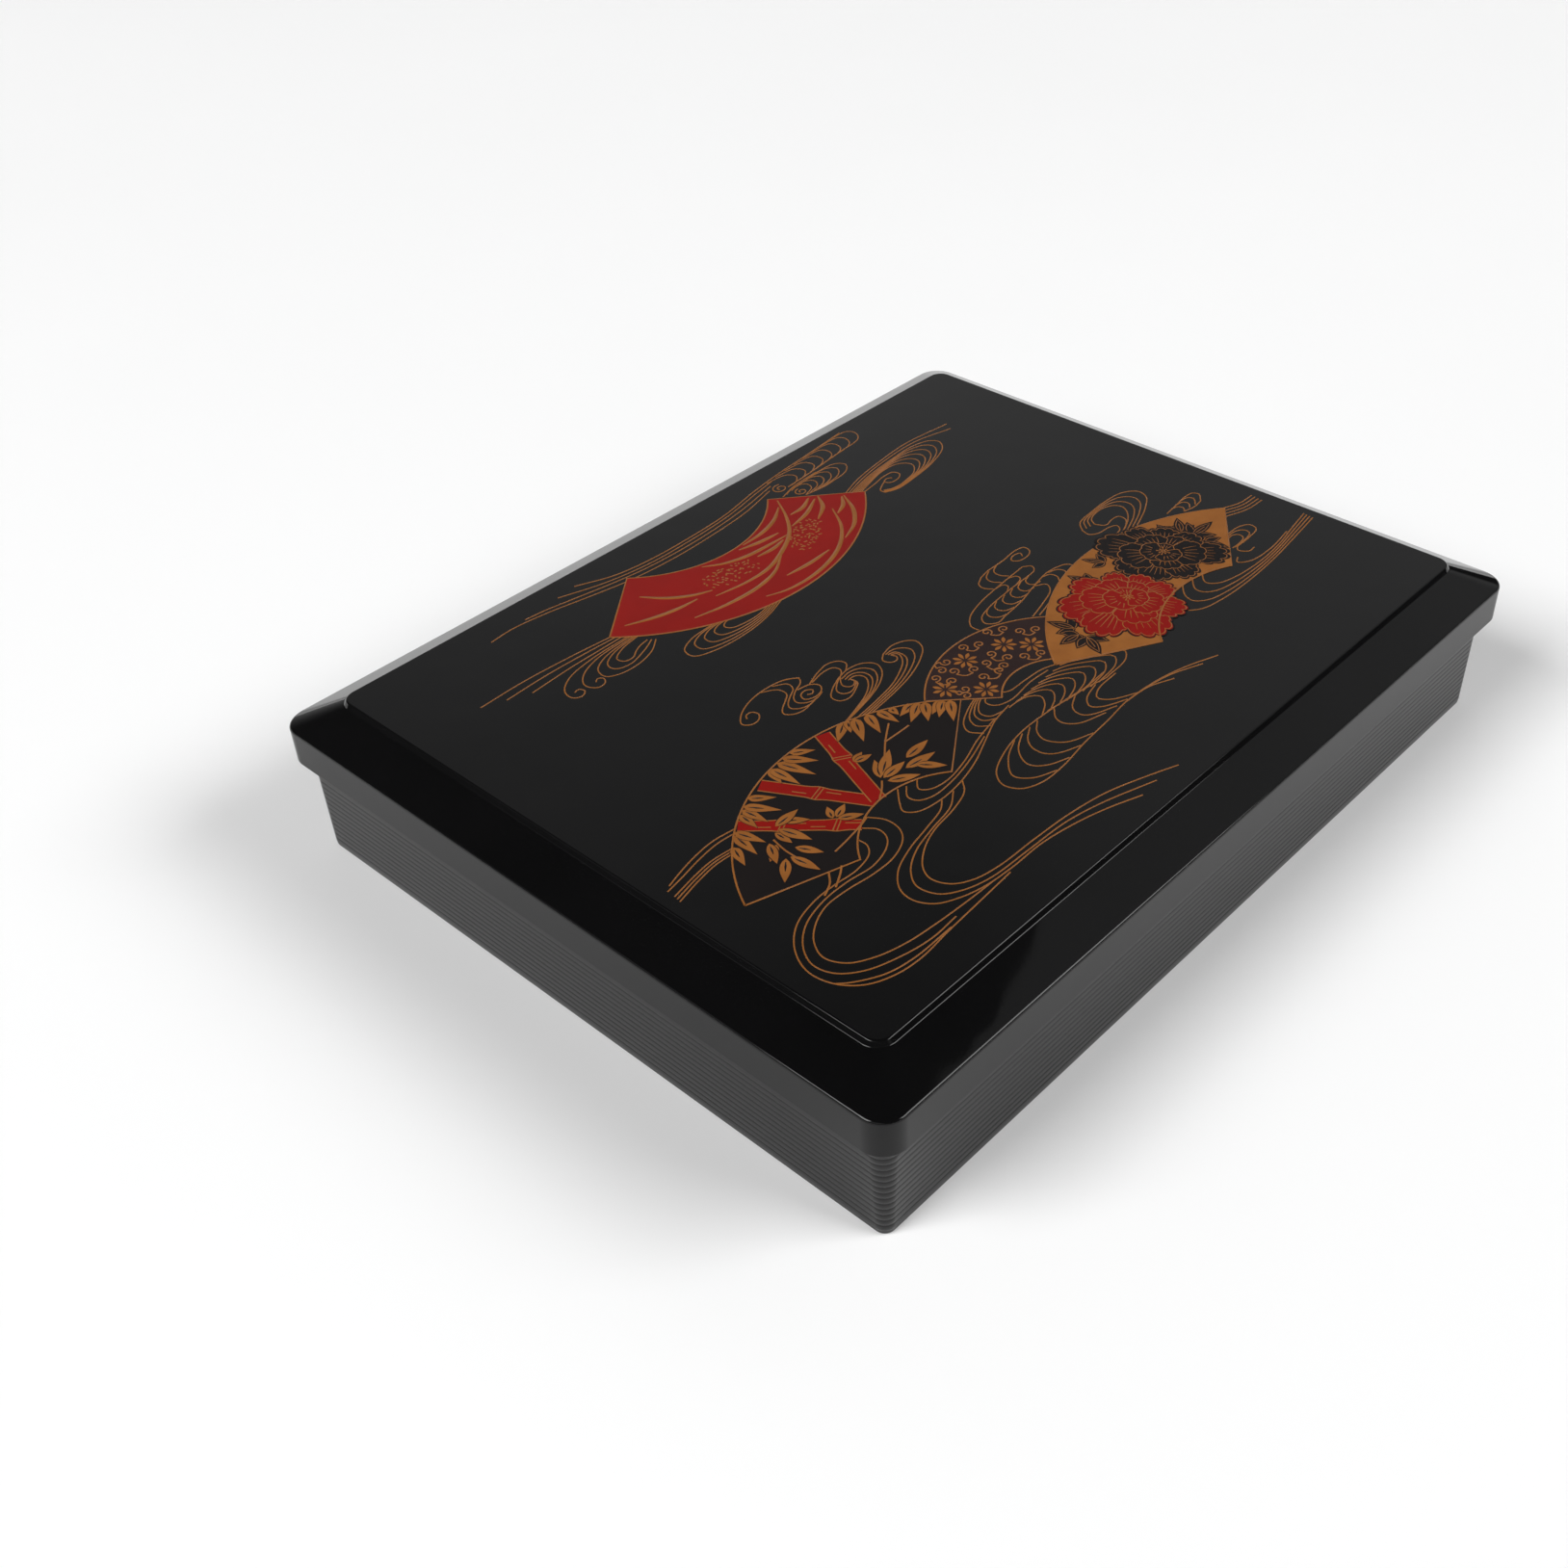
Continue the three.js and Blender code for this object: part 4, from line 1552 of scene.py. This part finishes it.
@dataclass(frozen=True)
class Peony:
    """A full flower whose ruffled petals open round a heart that lies off its middle.

    Args:
        centre: Its middle.
        size: Half its length and half its width.
        slant: The direction of its length, in degrees.
        heart: Where its heart is, as shares of its size from its middle.
        ink: The ink of its petals.
        line: Width of its gold lines as a share of the usual line.
        seed: Sets how its petals vary.
        layers: The reach of each ring of petals, from the outer one, how many it has and their ruffles.
        stamens: How many stamens its heart has.
    """

    centre: Point
    size: Point
    slant: float
    heart: Point
    ink: Ink
    line: float
    seed: int
    layers: tuple[tuple[float, int, int], ...] = ((1.0, 8, 5), (0.66, 5, 5), (0.36, 3, 4))
    stamens: int = 9

    def room(self, degrees: float) -> float:
        """Finds how far the flower reaches from its heart.

        Args:
            degrees: The direction.

        Returns:
            The distance from the heart to the flower's edge.
        """
        angle = math.radians(degrees - self.slant)
        way = Vector((math.cos(angle) / self.size[0], math.sin(angle) / self.size[1]))
        off = Vector(self.heart)
        b = way.dot(off)
        return (-b + math.sqrt(b * b - way.dot(way) * (off.dot(off) - 1))) / way.dot(way)

    def draw(self, sheet: PrintSheet) -> None:
        """Draws the flower, from its outer petals to its heart.

        Args:
            sheet: The print.
        """
        chance = random.Random(self.seed)
        off = Vector((self.heart[0] * self.size[0], self.heart[1] * self.size[1]))
        heart = tuple(Vector(self.centre) + Matrix.Rotation(math.radians(self.slant), 2) @ off)
        petals = []
        for share, count, ruffles in self.layers:
            pitch = 360 / count
            turn = chance.uniform(0, pitch)
            for petal in range(count):
                degrees = turn + pitch * (petal + chance.uniform(-0.2, 0.2))
                length = share * self.room(degrees) * chance.uniform(0.88, 1.0)
                petals.append(Petal(heart, degrees, length, pitch * chance.uniform(0.55, 0.7), ruffles))
        for petal in petals[: self.layers[0][1]]:
            petal.shade(sheet)
        for petal in petals:
            petal.draw(sheet, self.ink, self.line)
        for i in range(self.stamens):
            turn = 360 / self.stamens * i
            tip = polar(heart, 1.5 + 0.6 * (i % 2), turn)
            sheet.stroke(Ink.GOLD, [polar(heart, 0.3, turn), tip], self.line)
            sheet.fill(Ink.GOLD, [polar(tip, 0.35, 60 * k) for k in range(6)])


@dataclass
class LidPrint:
    """The print on the lid's panel: four fans on flowing water.

    The widths of its lines are shares of the usual line. A bamboo leaf whose root is nearer the fan's
    outer edge than the fringe starts at that edge.
    """

    panel_z: float = 55.0
    seed: int = 11
    border: float = 1.25
    blade: float = 3.7
    grain: float = 1.3
    twig: float = 1.3
    slit: float = 1.5
    curl: float = 1.15
    vein: float = 0.6
    fringe: float = 4.0
    sheet: PrintSheet = field(init=False)
    chance: random.Random = field(init=False)

    def __post_init__(self) -> None:
        """Starts an empty sheet."""
        self.sheet = PrintSheet(self.panel_z)
        self.chance = random.Random(self.seed)

    def water(self) -> None:
        """Draws the streams and their curls."""
        for bundle in (*BACK_WATER, *BAMBOO_WATER, *FRONT_WATER, *PEONY_WATER):
            for line in bundle.lines():
                self.sheet.stroke(Ink.GOLD, line)
        for points in (*BACK_LINES, *BAMBOO_LINES, *FRONT_LINES, *PEONY_LINES):
            self.sheet.stroke(Ink.GOLD, smooth(points))

    def fan(self, fan: Fan, ink: Ink) -> None:
        """Draws a fan's leaf and its gold border."""
        self.sheet.fill(ink, fan.outline())
        self.sheet.closed(Ink.GOLD, fan.outline(), self.border)

    def red_fan(self) -> None:
        """Draws the red fan, with grass blades and seed heads."""
        self.fan(RED_FAN, Ink.RED)
        blades = (
            [(-43, 78), (-38, 71), (-32, 66), (-25.5, 63)],
            [(-57, 69.5), (-48, 65.8), (-40, 63.8), (-32, 63)],
            [(-18, 75.5), (-12, 71.5), (-4, 69), (6, 68.2), (14, 68)],
            [(-27, 59.8), (-15, 58), (-5, 58.4), (5, 62), (15, 68), (22, 76), (28, 86)],
            [(-40, 56), (-28, 53.6), (-15, 53.2), (-5, 55.4), (4, 61)],
            [(-17, 47.4), (-10, 45), (0, 44.4), (12, 46.6), (22, 51.4), (30, 58.6), (36, 68)],
            [(-4, 50.9), (6, 50.3), (16, 51)],
            [(25, 52), (33, 55.5), (40, 62), (45, 71)],
            [(19, 70.5), (28, 72.5), (37, 77)],
            [(24, 76), (30, 76.2), (36, 79)],
            [(-3, 73.5), (5, 71.8), (13, 71)],
            [(0, 74.6), (10, 75.4), (18, 78), (25, 82.5)],
            [(28, 67), (35, 71.5), (39, 77.5)],
            [(35, 64.5), (40, 66.8), (44, 71)],
            [(-2, 66), (5, 65.6), (11, 66.8)],
        )
        for points in blades:
            self.sheet.stroke(Ink.GOLD, smooth(points), self.blade, Brush.LEAF)
        for centre, slant, size in (((-15, 65.5), -12, (11, 4.8)), ((18, 63.4), 32, (10.5, 4.6))):
            self.seed_head(centre, slant, size)

    def seed_head(self, centre: Point, slant: float, size: Point) -> None:
        """Draws a seed head as loose grains.

        Args:
            centre: Its middle.
            slant: Its slope, in degrees.
            size: Half its length and half its width.
        """
        missing, stray = 0.16, 0.4
        turn = Matrix.Rotation(math.radians(slant), 2)
        for row in range(-3, 4):
            for column in range(-6, 7):
                along = (column + 0.5 * (row % 2)) / 6.5
                across = row / 3.4
                if along**2 + across**2 > 1 or self.chance.random() < missing:
                    continue
                wobble = Vector((self.chance.uniform(-stray, stray), self.chance.uniform(-stray, stray)))
                spot = Vector(centre) + turn @ Vector((along * size[0], across * size[1])) + wobble
                length = self.chance.uniform(0.7, 1.3)
                way = slant + self.chance.choice((-50, 10, 65))
                self.sheet.stroke(Ink.GOLD, [tuple(spot), polar(tuple(spot), length, way)], self.grain)

    def stalk(self, start: Point, end: Point, width: float, joints: Sequence[float]) -> None:
        """Draws a bamboo stalk.

        Args:
            start: Middle of its upper end.
            end: Middle of its lower end.
            width: Its width.
            joints: Where its joints are, as shares of its length.
        """
        along = (Vector(end) - Vector(start)).normalized()
        across = Vector((-along.y, along.x)) * width / 2
        rows: list[tuple[Vector, float]] = []
        steps, slim, bulge, bulge_reach = 48, 0.92, 0.2, 0.06
        for i in range(steps + 1):
            t = i / steps
            swell = sum(bulge * math.exp(-(((t - share) / bulge_reach) ** 2)) for share in joints)
            rows.append((Vector(start).lerp(Vector(end), t), slim + swell))
        sides = [[tuple(middle + across * wide * way) for middle, wide in rows] for way in (1, -1)]
        self.sheet.fill(Ink.RED, sides[0] + sides[1][::-1])
        for side in sides:
            self.sheet.stroke(Ink.GOLD, side)
        for share in joints:
            middle = Vector(start).lerp(Vector(end), share)
            for shift in (-0.5, 0.6):
                ring = [middle + across * 1.1 + along * 0.6, middle - across * 1.1 - along * 0.6]
                self.sheet.stroke(Ink.GOLD, [tuple(p + along * shift) for p in ring], 0.9)
            for side, near, far in ((0.35, 2.2, 6.4), (-0.3, -7, -3)):
                shine = [middle + along * near + across * side, middle + along * far + across * side]
                self.sheet.stroke(Ink.GOLD, [tuple(p) for p in shine], 1.0)

    def bamboo_leaf(self, root: Point, degrees: float, length: float) -> None:
        """Draws one gold leaf with a dark edge and a dark slit along its middle.

        A leaf near the fan's outer edge starts at that edge, with a broader root and a thinner dark edge.

        Args:
            root: Where it springs from.
            degrees: Its direction.
            length: Its length.
        """
        width, belly, edge = 1.5 + 0.17 * length, 0.78, 0.6
        gap = BAMBOO_FAN.outer - math.dist(root, BAMBOO_FAN.pivot)
        if gap < self.fringe:
            root, length = polar(root, gap, degrees + 180), length + gap
            width, belly, edge = width + 0.3, 0.56, 0.35
        self.sheet.fill(Ink.DARK, leaf(root, degrees, length + 0.3, width + edge, belly))
        self.sheet.fill(Ink.GOLD, leaf(root, degrees, length, width, belly))
        slit = [polar(root, length * share, degrees) for share in (0.14, 0.34, 0.54)]
        self.sheet.stroke(Ink.DARK, slit, self.slit, Brush.LEAF)

    def bamboo_fan(self) -> None:
        """Draws the dark fan, with red bamboo and gold leaves."""
        self.fan(BAMBOO_FAN, Ink.DARK)
        self.stalk((-86.0, -17.2), (-70.4, -46.0), 5.0, (0.5,))
        self.stalk((-58.0, -14.6), (-69.4, -46.0), 5.0, (0.37,))
        self.stalk((-102.2, -24.8), (-80.2, -49.6), 4.5, (0.36, 0.8))
        leaves = (
            ((-79.9, -15.9), 254, 5.6), ((-78.9, -15.6), 273, 9.8), ((-75.5, -15.1), 286, 11.1),
            ((-73.1, -14.3), 306, 9.6), ((-69.6, -14.2), 323, 6.4), ((-98.6, -23.2), 264, 6.2),
            ((-96.5, -22.6), 277, 7.4), ((-94.6, -21.6), 303, 9.0), ((-91.2, -19.8), 315, 6.4),
            ((-109.3, -30.4), 248, 7.8), ((-105.7, -27.8), 262, 9.2), ((-104.4, -26.8), 286, 8.8),
            ((-50.5, -15.8), 212, 8.8), ((-49.1, -16.2), 233, 5.2), ((-46.5, -16.4), 236, 11.4),
            ((-42.8, -17.8), 246, 10.0), ((-39.8, -19.0), 271, 8.6), ((-36.3, -20.9), 260, 4.4),
            ((-29.8, -24.5), 190, 7.8), ((-28.7, -25.6), 207, 10.0), ((-27.7, -26.9), 227, 9.2),
            ((-24.2, -29.9), 200, 7.0), ((-23.8, -30.5), 212, 8.0), ((-22.6, -32.2), 226, 9.6),
            ((-62.1, -40.3), 54, 8.2), ((-61.2, -39.9), 31, 12.0),
            ((-61.6, -40.9), 2, 9.4), ((-61.9, -42.6), 328, 9.6),
            ((-50.8, -39.8), 4, 10.2), ((-54.4, -42.7), 352, 11.0), ((-51.5, -43.6), 308, 9.0),
            ((-61.6, -29.7), 12, 4.9), ((-61.6, -30.0), 346, 6.0),
            ((-93.3, -32.1), 316, 8.0), ((-95.8, -32.6), 2, 9.2),
            ((-97.7, -34.3), 270, 6.4), ((-96.1, -33.9), 286, 10.3),
            ((-100.9, -38.0), 210, 7.0), ((-101.8, -36.2), 238, 8.5), ((-103.3, -43.7), 222, 9.4),
            ((-98.5, -42.4), 296, 8.0), ((-102.0, -44.1), 278, 9.6),
            ((-83.4, -42.0), 60, 5.2), ((-82.4, -42.4), 20, 6.0), ((-82.6, -43.0), 326, 7.4),
        )
        for root, degrees, length in leaves:
            self.bamboo_leaf(root, degrees, length)
        twigs = (
            [(-55, -35.5), (-49, -30.5), (-42, -25.6)], [(-49, -30.5), (-44, -30.6), (-39, -30.6)],
            [(-100.0, -36.0), (-101, -41), (-101.2, -46)], [(-69, -46), (-65.6, -43.8), (-62.8, -41.4)],
            [(-107.2, -61.1), (-103, -59), (-100.1, -56)], [(-103, -61.1), (-98, -58.2), (-95.9, -56.6)],
            [(-92.9, -51.6), (-87.1, -50.8), (-80.3, -49.5), (-77, -48.5)],
        )
        for points in twigs:
            self.sheet.stroke(Ink.GOLD, smooth(points), self.twig)
        self.sheet.closed(Ink.GOLD, BAMBOO_FAN.outline(), self.border)

    def blossom(self, centre: Point, size: float) -> None:
        """Draws one small flower of eight petals.

        Args:
            centre: Its middle.
            size: The length of a petal.
        """
        pitch = 45
        tilt = self.chance.uniform(0, pitch)
        for petal in range(8):
            degrees = tilt + pitch * petal
            self.sheet.fill(Ink.GOLD, leaf(polar(centre, 0.7, degrees), degrees, size, size * 0.38, 1.3))

    def scroll(self, first: Point, second: Point, size: float) -> None:
        """Draws two curls on one bent stem.

        Args:
            first: Middle of the first curl.
            second: Middle of the second curl.
            size: Radius of a curl.
        """
        way = math.degrees(math.atan2(second[1] - first[1], second[0] - first[0]))
        ends = []
        for middle, start, sweep in ((first, way - 70, 430), (second, way + 250, -430)):
            curl = spiral(middle, size, start, sweep, 0.95)
            self.sheet.stroke(Ink.GOLD, curl, self.curl)
            ends.append(curl[0])
        bow = polar(((first[0] + second[0]) / 2, (first[1] + second[1]) / 2), size * 1.5, way - 90)
        self.sheet.stroke(Ink.GOLD, smooth([ends[0], bow, ends[1]]), self.curl)

    def blossom_fan(self) -> None:
        """Draws the plum fan that lies behind the others, with small flowers and scrolls."""
        self.fan(BLOSSOM_FAN, Ink.PLUM)
        for centre in ((-19.0, -27.4), (-3.9, -22.5), (10.0, -26.1), (15.4, -32.4), (-11.2, -36.4)):
            self.blossom(centre, 3.3)
        scrolls = (
            ((0.8, -17.6), (5.4, -20.4)), ((-8.2, -18.6), (-12.4, -20.4)), ((-10.4, -23.4), (-5.6, -27.4)),
            ((-16.6, -21.6), (-14.4, -26.2)), ((-7.0, -31.8), (-1.2, -33.4)), ((3.6, -26.2), (5.6, -31.2)),
            ((11.8, -18.0), (16.6, -20.8)), ((18.6, -25.2), (22.8, -28.4)), ((9.0, -34.4), (13.8, -37.4)),
            ((-15.2, -31.6), (-17.4, -34.0)), ((-1.0, -28.0), (1.6, -33.0)),
        )
        for first, second in scrolls:
            self.scroll(first, second, 1.85)

    def dark_leaf(self, base: Point, degrees: float, length: float, width: float) -> None:
        """Draws a dark leaf of three lobes, with a gold line inside its edge and a gold vein.

        Args:
            base: Where it springs from.
            degrees: Its direction.
            length: Its length.
            width: Its width.
        """
        for turn, share in ((48, 0.72), (-48, 0.72), (0, 1.0)):
            way, reach = degrees + turn, length * share
            self.sheet.fill(Ink.DARK, leaf(base, way, reach, width * 0.8))
            inner = leaf(polar(base, 0.6, way), way, reach * 0.8, width * 0.5)
            self.sheet.closed(Ink.GOLD, inner, self.vein)
        self.sheet.stroke(Ink.GOLD, [base, polar(base, length * 0.6, degrees)], self.vein)

    def peony_fan(self) -> None:
        """Draws the gold fan, with a red and a dark peony."""
        self.fan(PEONY_FAN, Ink.GOLD)
        leaves = (
            ((30.6, -37.6), 106, 9.6, 5.0), ((29.0, -40.2), 172, 8.6, 5.0), ((29.4, -42.4), 242, 10.4, 5.0),
            ((54.0, -25.6), 99, 8.2, 4.4), ((67.0, -22.4), 118, 8.2, 4.0), ((94.6, -28.6), 76, 7.6, 4.2),
            ((97.4, -30.6), 44, 9.4, 4.6), ((98.4, -34.0), 358, 11.4, 4.8), ((97.6, -39.0), 282, 9.0, 4.4),
        )
        for base, degrees, length, width in leaves:
            self.dark_leaf(base, degrees, length, width)
        Peony((82.2, -32.8), (22.0, 16.6), -50.0, (0.05, 0.1), Ink.DARK, 0.65, 5).draw(self.sheet)
        Peony((50.2, -40.2), (20.6, 19.6), -50.0, (0.12, 0.22), Ink.RED, 0.8, 3).draw(self.sheet)
        self.sheet.stroke(Ink.GOLD, PEONY_FAN.arc(PEONY_FAN.inner, PEONY_FAN.inner_span), self.border)

    def build(self, inks: dict[Ink, Material]) -> None:
        """Draws the whole print and lays it on the lid.

        Args:
            inks: The material of each ink.
        """
        self.water()
        self.blossom_fan()
        self.red_fan()
        self.bamboo_fan()
        self.peony_fan()
        self.sheet.build(inks)
        count = len(self.sheet.marks)
        LOG.info("print: %d marks, top %.3f mm", count, self.sheet.top(count))


@dataclass(frozen=True)
class PhotoCamera:
    """A camera that sees the box from the photograph's angle.

    Args:
        position: Where it stands, in millimetres.
        right: The direction of the picture's right side.
        up: The direction of the picture's top.
        focal: Focal length, in pixels of the picture.
        centre: The principal point, in pixels of the picture.
        picture: The picture's side, in pixels.
        sensor: The sensor's width, in millimetres.
        nearest: What is nearer than this isn't seen, in metres.
    """

    position: tuple[float, float, float] = (-352.652, -303.357, 369.717)
    right: Direction = (0.67299, -0.73912, -0.02795)
    up: Direction = (0.47751, 0.40531, 0.77955)
    focal: float = 1900.34
    centre: Point = (876.891, 808.021)
    picture: int = 1628
    sensor: float = 36.0
    nearest: float = 0.01

    def build(self) -> None:
        """Makes it the scene's camera."""
        data = bpy.data.cameras.new("photo camera")
        data.sensor_fit = "HORIZONTAL"
        data.sensor_width = self.sensor
        data.lens = self.focal / self.picture * self.sensor
        data.shift_x = (self.picture / 2 - self.centre[0]) / self.picture
        data.shift_y = (self.centre[1] - self.picture / 2) / self.picture
        data.clip_start = self.nearest
        camera = bpy.data.objects.new("photo camera", data)
        bpy.context.scene.collection.objects.link(camera)
        right, up = Vector(self.right), Vector(self.up)
        axes = Matrix((right, up, right.cross(up))).transposed().to_4x4()
        camera.matrix_world = Matrix.Translation(Vector(self.position) * MM) @ axes
        bpy.context.scene.camera = camera


@dataclass(frozen=True)
class Softbox:
    """An oblong lamp that faces the box.

    Args:
        name: Its name.
        towards: The direction from the box to the lamp.
        distance: How far away it is, in metres.
        size: Its width and height, in metres.
        power: Its power, in watts.
    """

    name: str
    towards: Direction
    distance: float
    size: Point
    power: float

    def build(self) -> None:
        """Hangs the lamp."""
        data = bpy.data.lights.new(self.name, "AREA")
        data.shape = "RECTANGLE"
        data.size, data.size_y = self.size
        data.energy = self.power
        lamp = bpy.data.objects.new(self.name, data)
        bpy.context.scene.collection.objects.link(lamp)
        aim = Vector(self.towards).normalized()
        lamp.location = aim * self.distance
        lamp.rotation_euler = aim.to_track_quat("Z", "Y").to_euler()


@dataclass
class Studio:
    """The pale floor and its upturned rim, the lamps and the dim room that the lacquer mirrors.

    Lengths are metres. The room's places are parts of a direction of length 1: up, towards the wall or
    along X. Of a pair, the first is where a light begins and the second where it is full or ends.
    """

    floor_side: float = 14.0
    floor_tone: Colour = (0.97, 0.97, 0.97)
    rim_height: float = 0.76
    rim_cove: float = 0.5
    rim_glow: float = 0.45
    rim_margin: float = 0.1
    rim_lift: float = 0.002
    rim_sides: int = 96
    lamps: tuple[Softbox, ...] = (
        Softbox("right softbox", (0.417, -0.693, 0.588), 8.0, (4.8, 3.4), 425.0),
        Softbox("left softbox", (-0.711, 0.227, 0.665), 8.0, (4.2, 3.6), 490.0),
    )
    room: tuple[Point, ...] = (
        (0.0, 0.8), (0.2, 0.7), (0.45, 0.53), (0.56, 0.385),
        (0.64, 0.315), (0.73, 0.16), (0.8, 0.03), (1.0, 0.015),
    )
    wall_side: Direction = (0.966, -0.259, 0.0)
    wall_turn: Point = (0.42, 0.58)
    wall_span: Point = (0.34, 1.129)
    wall_fade: float = 0.06
    wall_edge: float = 0.0005
    wall_lean: float = 0.58
    wall_glow: float = 0.44
    wall_foot: float = 0.35
    foot_top: float = 0.2
    wall_dark: float = 0.02
    ahead: Point = (-0.2, 0.5)
    ahead_least: float = 0.1
    behind: Point = (-0.52, -0.68)
    behind_rise: Point = (0.36, 0.46)
    behind_share: float = 2.0

    def floor(self, effects: SurfaceEffects) -> None:
        """Lays the floor and its rim.

        Args:
            effects: The shared node groups.
        """
        half = self.floor_side / 2
        corners = [(-half, -half, 0), (half, -half, 0), (half, half, 0), (-half, half, 0)]
        mesh = bpy.data.meshes.new("floor")
        mesh.from_pydata(corners, [], [(0, 1, 2, 3)])
        lower = tuple(0.985 * value for value in self.floor_tone)
        paint = Finish("floor paint", self.floor_tone, lower, 0.75, 0.85, 0.1, 2.0, 0.0)
        mesh.materials.append(paint.material(effects))
        new_object("floor", mesh)
        self.rim(paint.material(effects))

    def rim(self, paint: Material) -> Object:
        """Turns the floor up into a low round backdrop, so that low views meet no dark horizon.

        Args:
            paint: Its paint, which is given a glow.

        Returns:
            The backdrop.
        """
        turns = [math.radians(15 * i) for i in range(7)]
        rows = [(self.rim_cove * (math.sin(t) - 1), self.rim_cove * (1 - math.cos(t))) for t in turns]
        rows.append((0.0, self.rim_height))
        points = []
        for shift, z in rows:
            radius = self.floor_side / 2 + shift - self.rim_margin
            around = [polar((0, 0), radius, 360 * i / self.rim_sides) for i in range(self.rim_sides)]
            points += [(x, y, z + self.rim_lift) for x, y in around]
        inward = [face[::-1] for face in ring_faces(len(rows), self.rim_sides)]
        mesh = bpy.data.meshes.new("backdrop")
        mesh.from_pydata(points, [], inward)
        mesh.shade_smooth()
        shader = paint.node_tree.nodes["Principled BSDF"].inputs
        shader["Emission Color"].default_value = (1, 1, 1, 1)
        shader["Emission Strength"].default_value = self.rim_glow
        mesh.materials.append(paint)
        return new_object("backdrop", mesh)

    def world(self) -> None:
        """Makes the room: pale low down, dark overhead, with lit walls on two sides."""
        world = bpy.data.worlds.new("studio room")
        world.use_nodes = True
        bpy.context.scene.world = world
        build = NodeBuilder(world.node_tree)
        way = build.add("ShaderNodeTexCoord").outputs["Generated"]
        along, _, height = build.add("ShaderNodeSeparateXYZ", {0: way}).outputs
        ramp = build.add("ShaderNodeValToRGB", {0: height})
        stops = ramp.color_ramp.elements
        stops[0].color = (self.room[0][1],) * 3 + (1,)
        stops[1].color = (self.room[-1][1],) * 3 + (1,)
        for place, value in self.room[1:-1]:
            stops.new(place).color = (value, value, value, 1)
        dot = build.add("ShaderNodeVectorMath", {0: way, 1: self.wall_side}, operation="DOT_PRODUCT")
        facing = dot.outputs["Value"]
        side = build.rise(facing, *self.wall_turn)
        low, high = self.wall_span
        top = build.math("ADD", height, build.math("MULTIPLY", facing, self.wall_lean))
        above = build.rise(height, low - self.wall_fade, low + self.wall_fade)
        below = build.rise(top, high + self.wall_edge, high - self.wall_edge)
        lit = build.math("MULTIPLY", above, below)
        foot = build.math("POWER", build.rise(height, self.foot_top, 0.0), 3.0)
        dim = build.math("MAXIMUM", build.math("MULTIPLY", foot, self.wall_foot), self.wall_dark)
        glow = build.math("MAXIMUM", build.math("MULTIPLY", lit, self.wall_glow), dim)
        walls = build.add("ShaderNodeMix", {0: side, 6: ramp.outputs[0], 7: glow}, data_type="RGBA")
        ahead = build.math("MAXIMUM", build.rise(along, *self.ahead), self.ahead_least)
        high_up = build.rise(height, *self.behind_rise)
        behind = build.math("MULTIPLY", build.rise(along, *self.behind), high_up)
        share = build.math("ADD", ahead, build.math("MULTIPLY", behind, self.behind_share))
        background = world.node_tree.nodes["Background"]
        world.node_tree.links.new(walls.outputs[2], background.inputs["Color"])
        world.node_tree.links.new(share, background.inputs["Strength"])

    def build(self, effects: SurfaceEffects) -> None:
        """Sets up the stage.

        Args:
            effects: The shared node groups.
        """
        self.floor(effects)
        self.world()
        for lamp in self.lamps:
            lamp.build()
        bpy.context.scene.view_settings.view_transform = "Standard"


def main() -> None:
    """Builds the scene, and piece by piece."""
    logging.basicConfig(level=logging.INFO, format="%(name)s %(message)s")
    effects = SurfaceEffects()
    PhotoCamera().build()
    Studio().build(effects)
    black = BLACK_LACQUER.material(effects)
    vermilion = VERMILION.material(effects)
    satin = DIVIDER_LACQUER.material(effects)
    lid = Lid()
    BaseBox().build(black, vermilion)
    Divider("long_divider", True).build(satin)
    Divider("cross_divider", False).build(satin)
    for node, wells in (("rice_tray", 1), ("main_dish_tray", 1), ("side_dish_tray", 2), ("pickle_tray", 3)):
        Tray(node, wells).build(vermilion)
    lid.build(LID_LACQUER.material(effects), vermilion)
    LidPrint(lid.panel_z).build({ink: finish.material(effects) for ink, finish in INKS.items()})


if __name__ == "__main__":
    main()
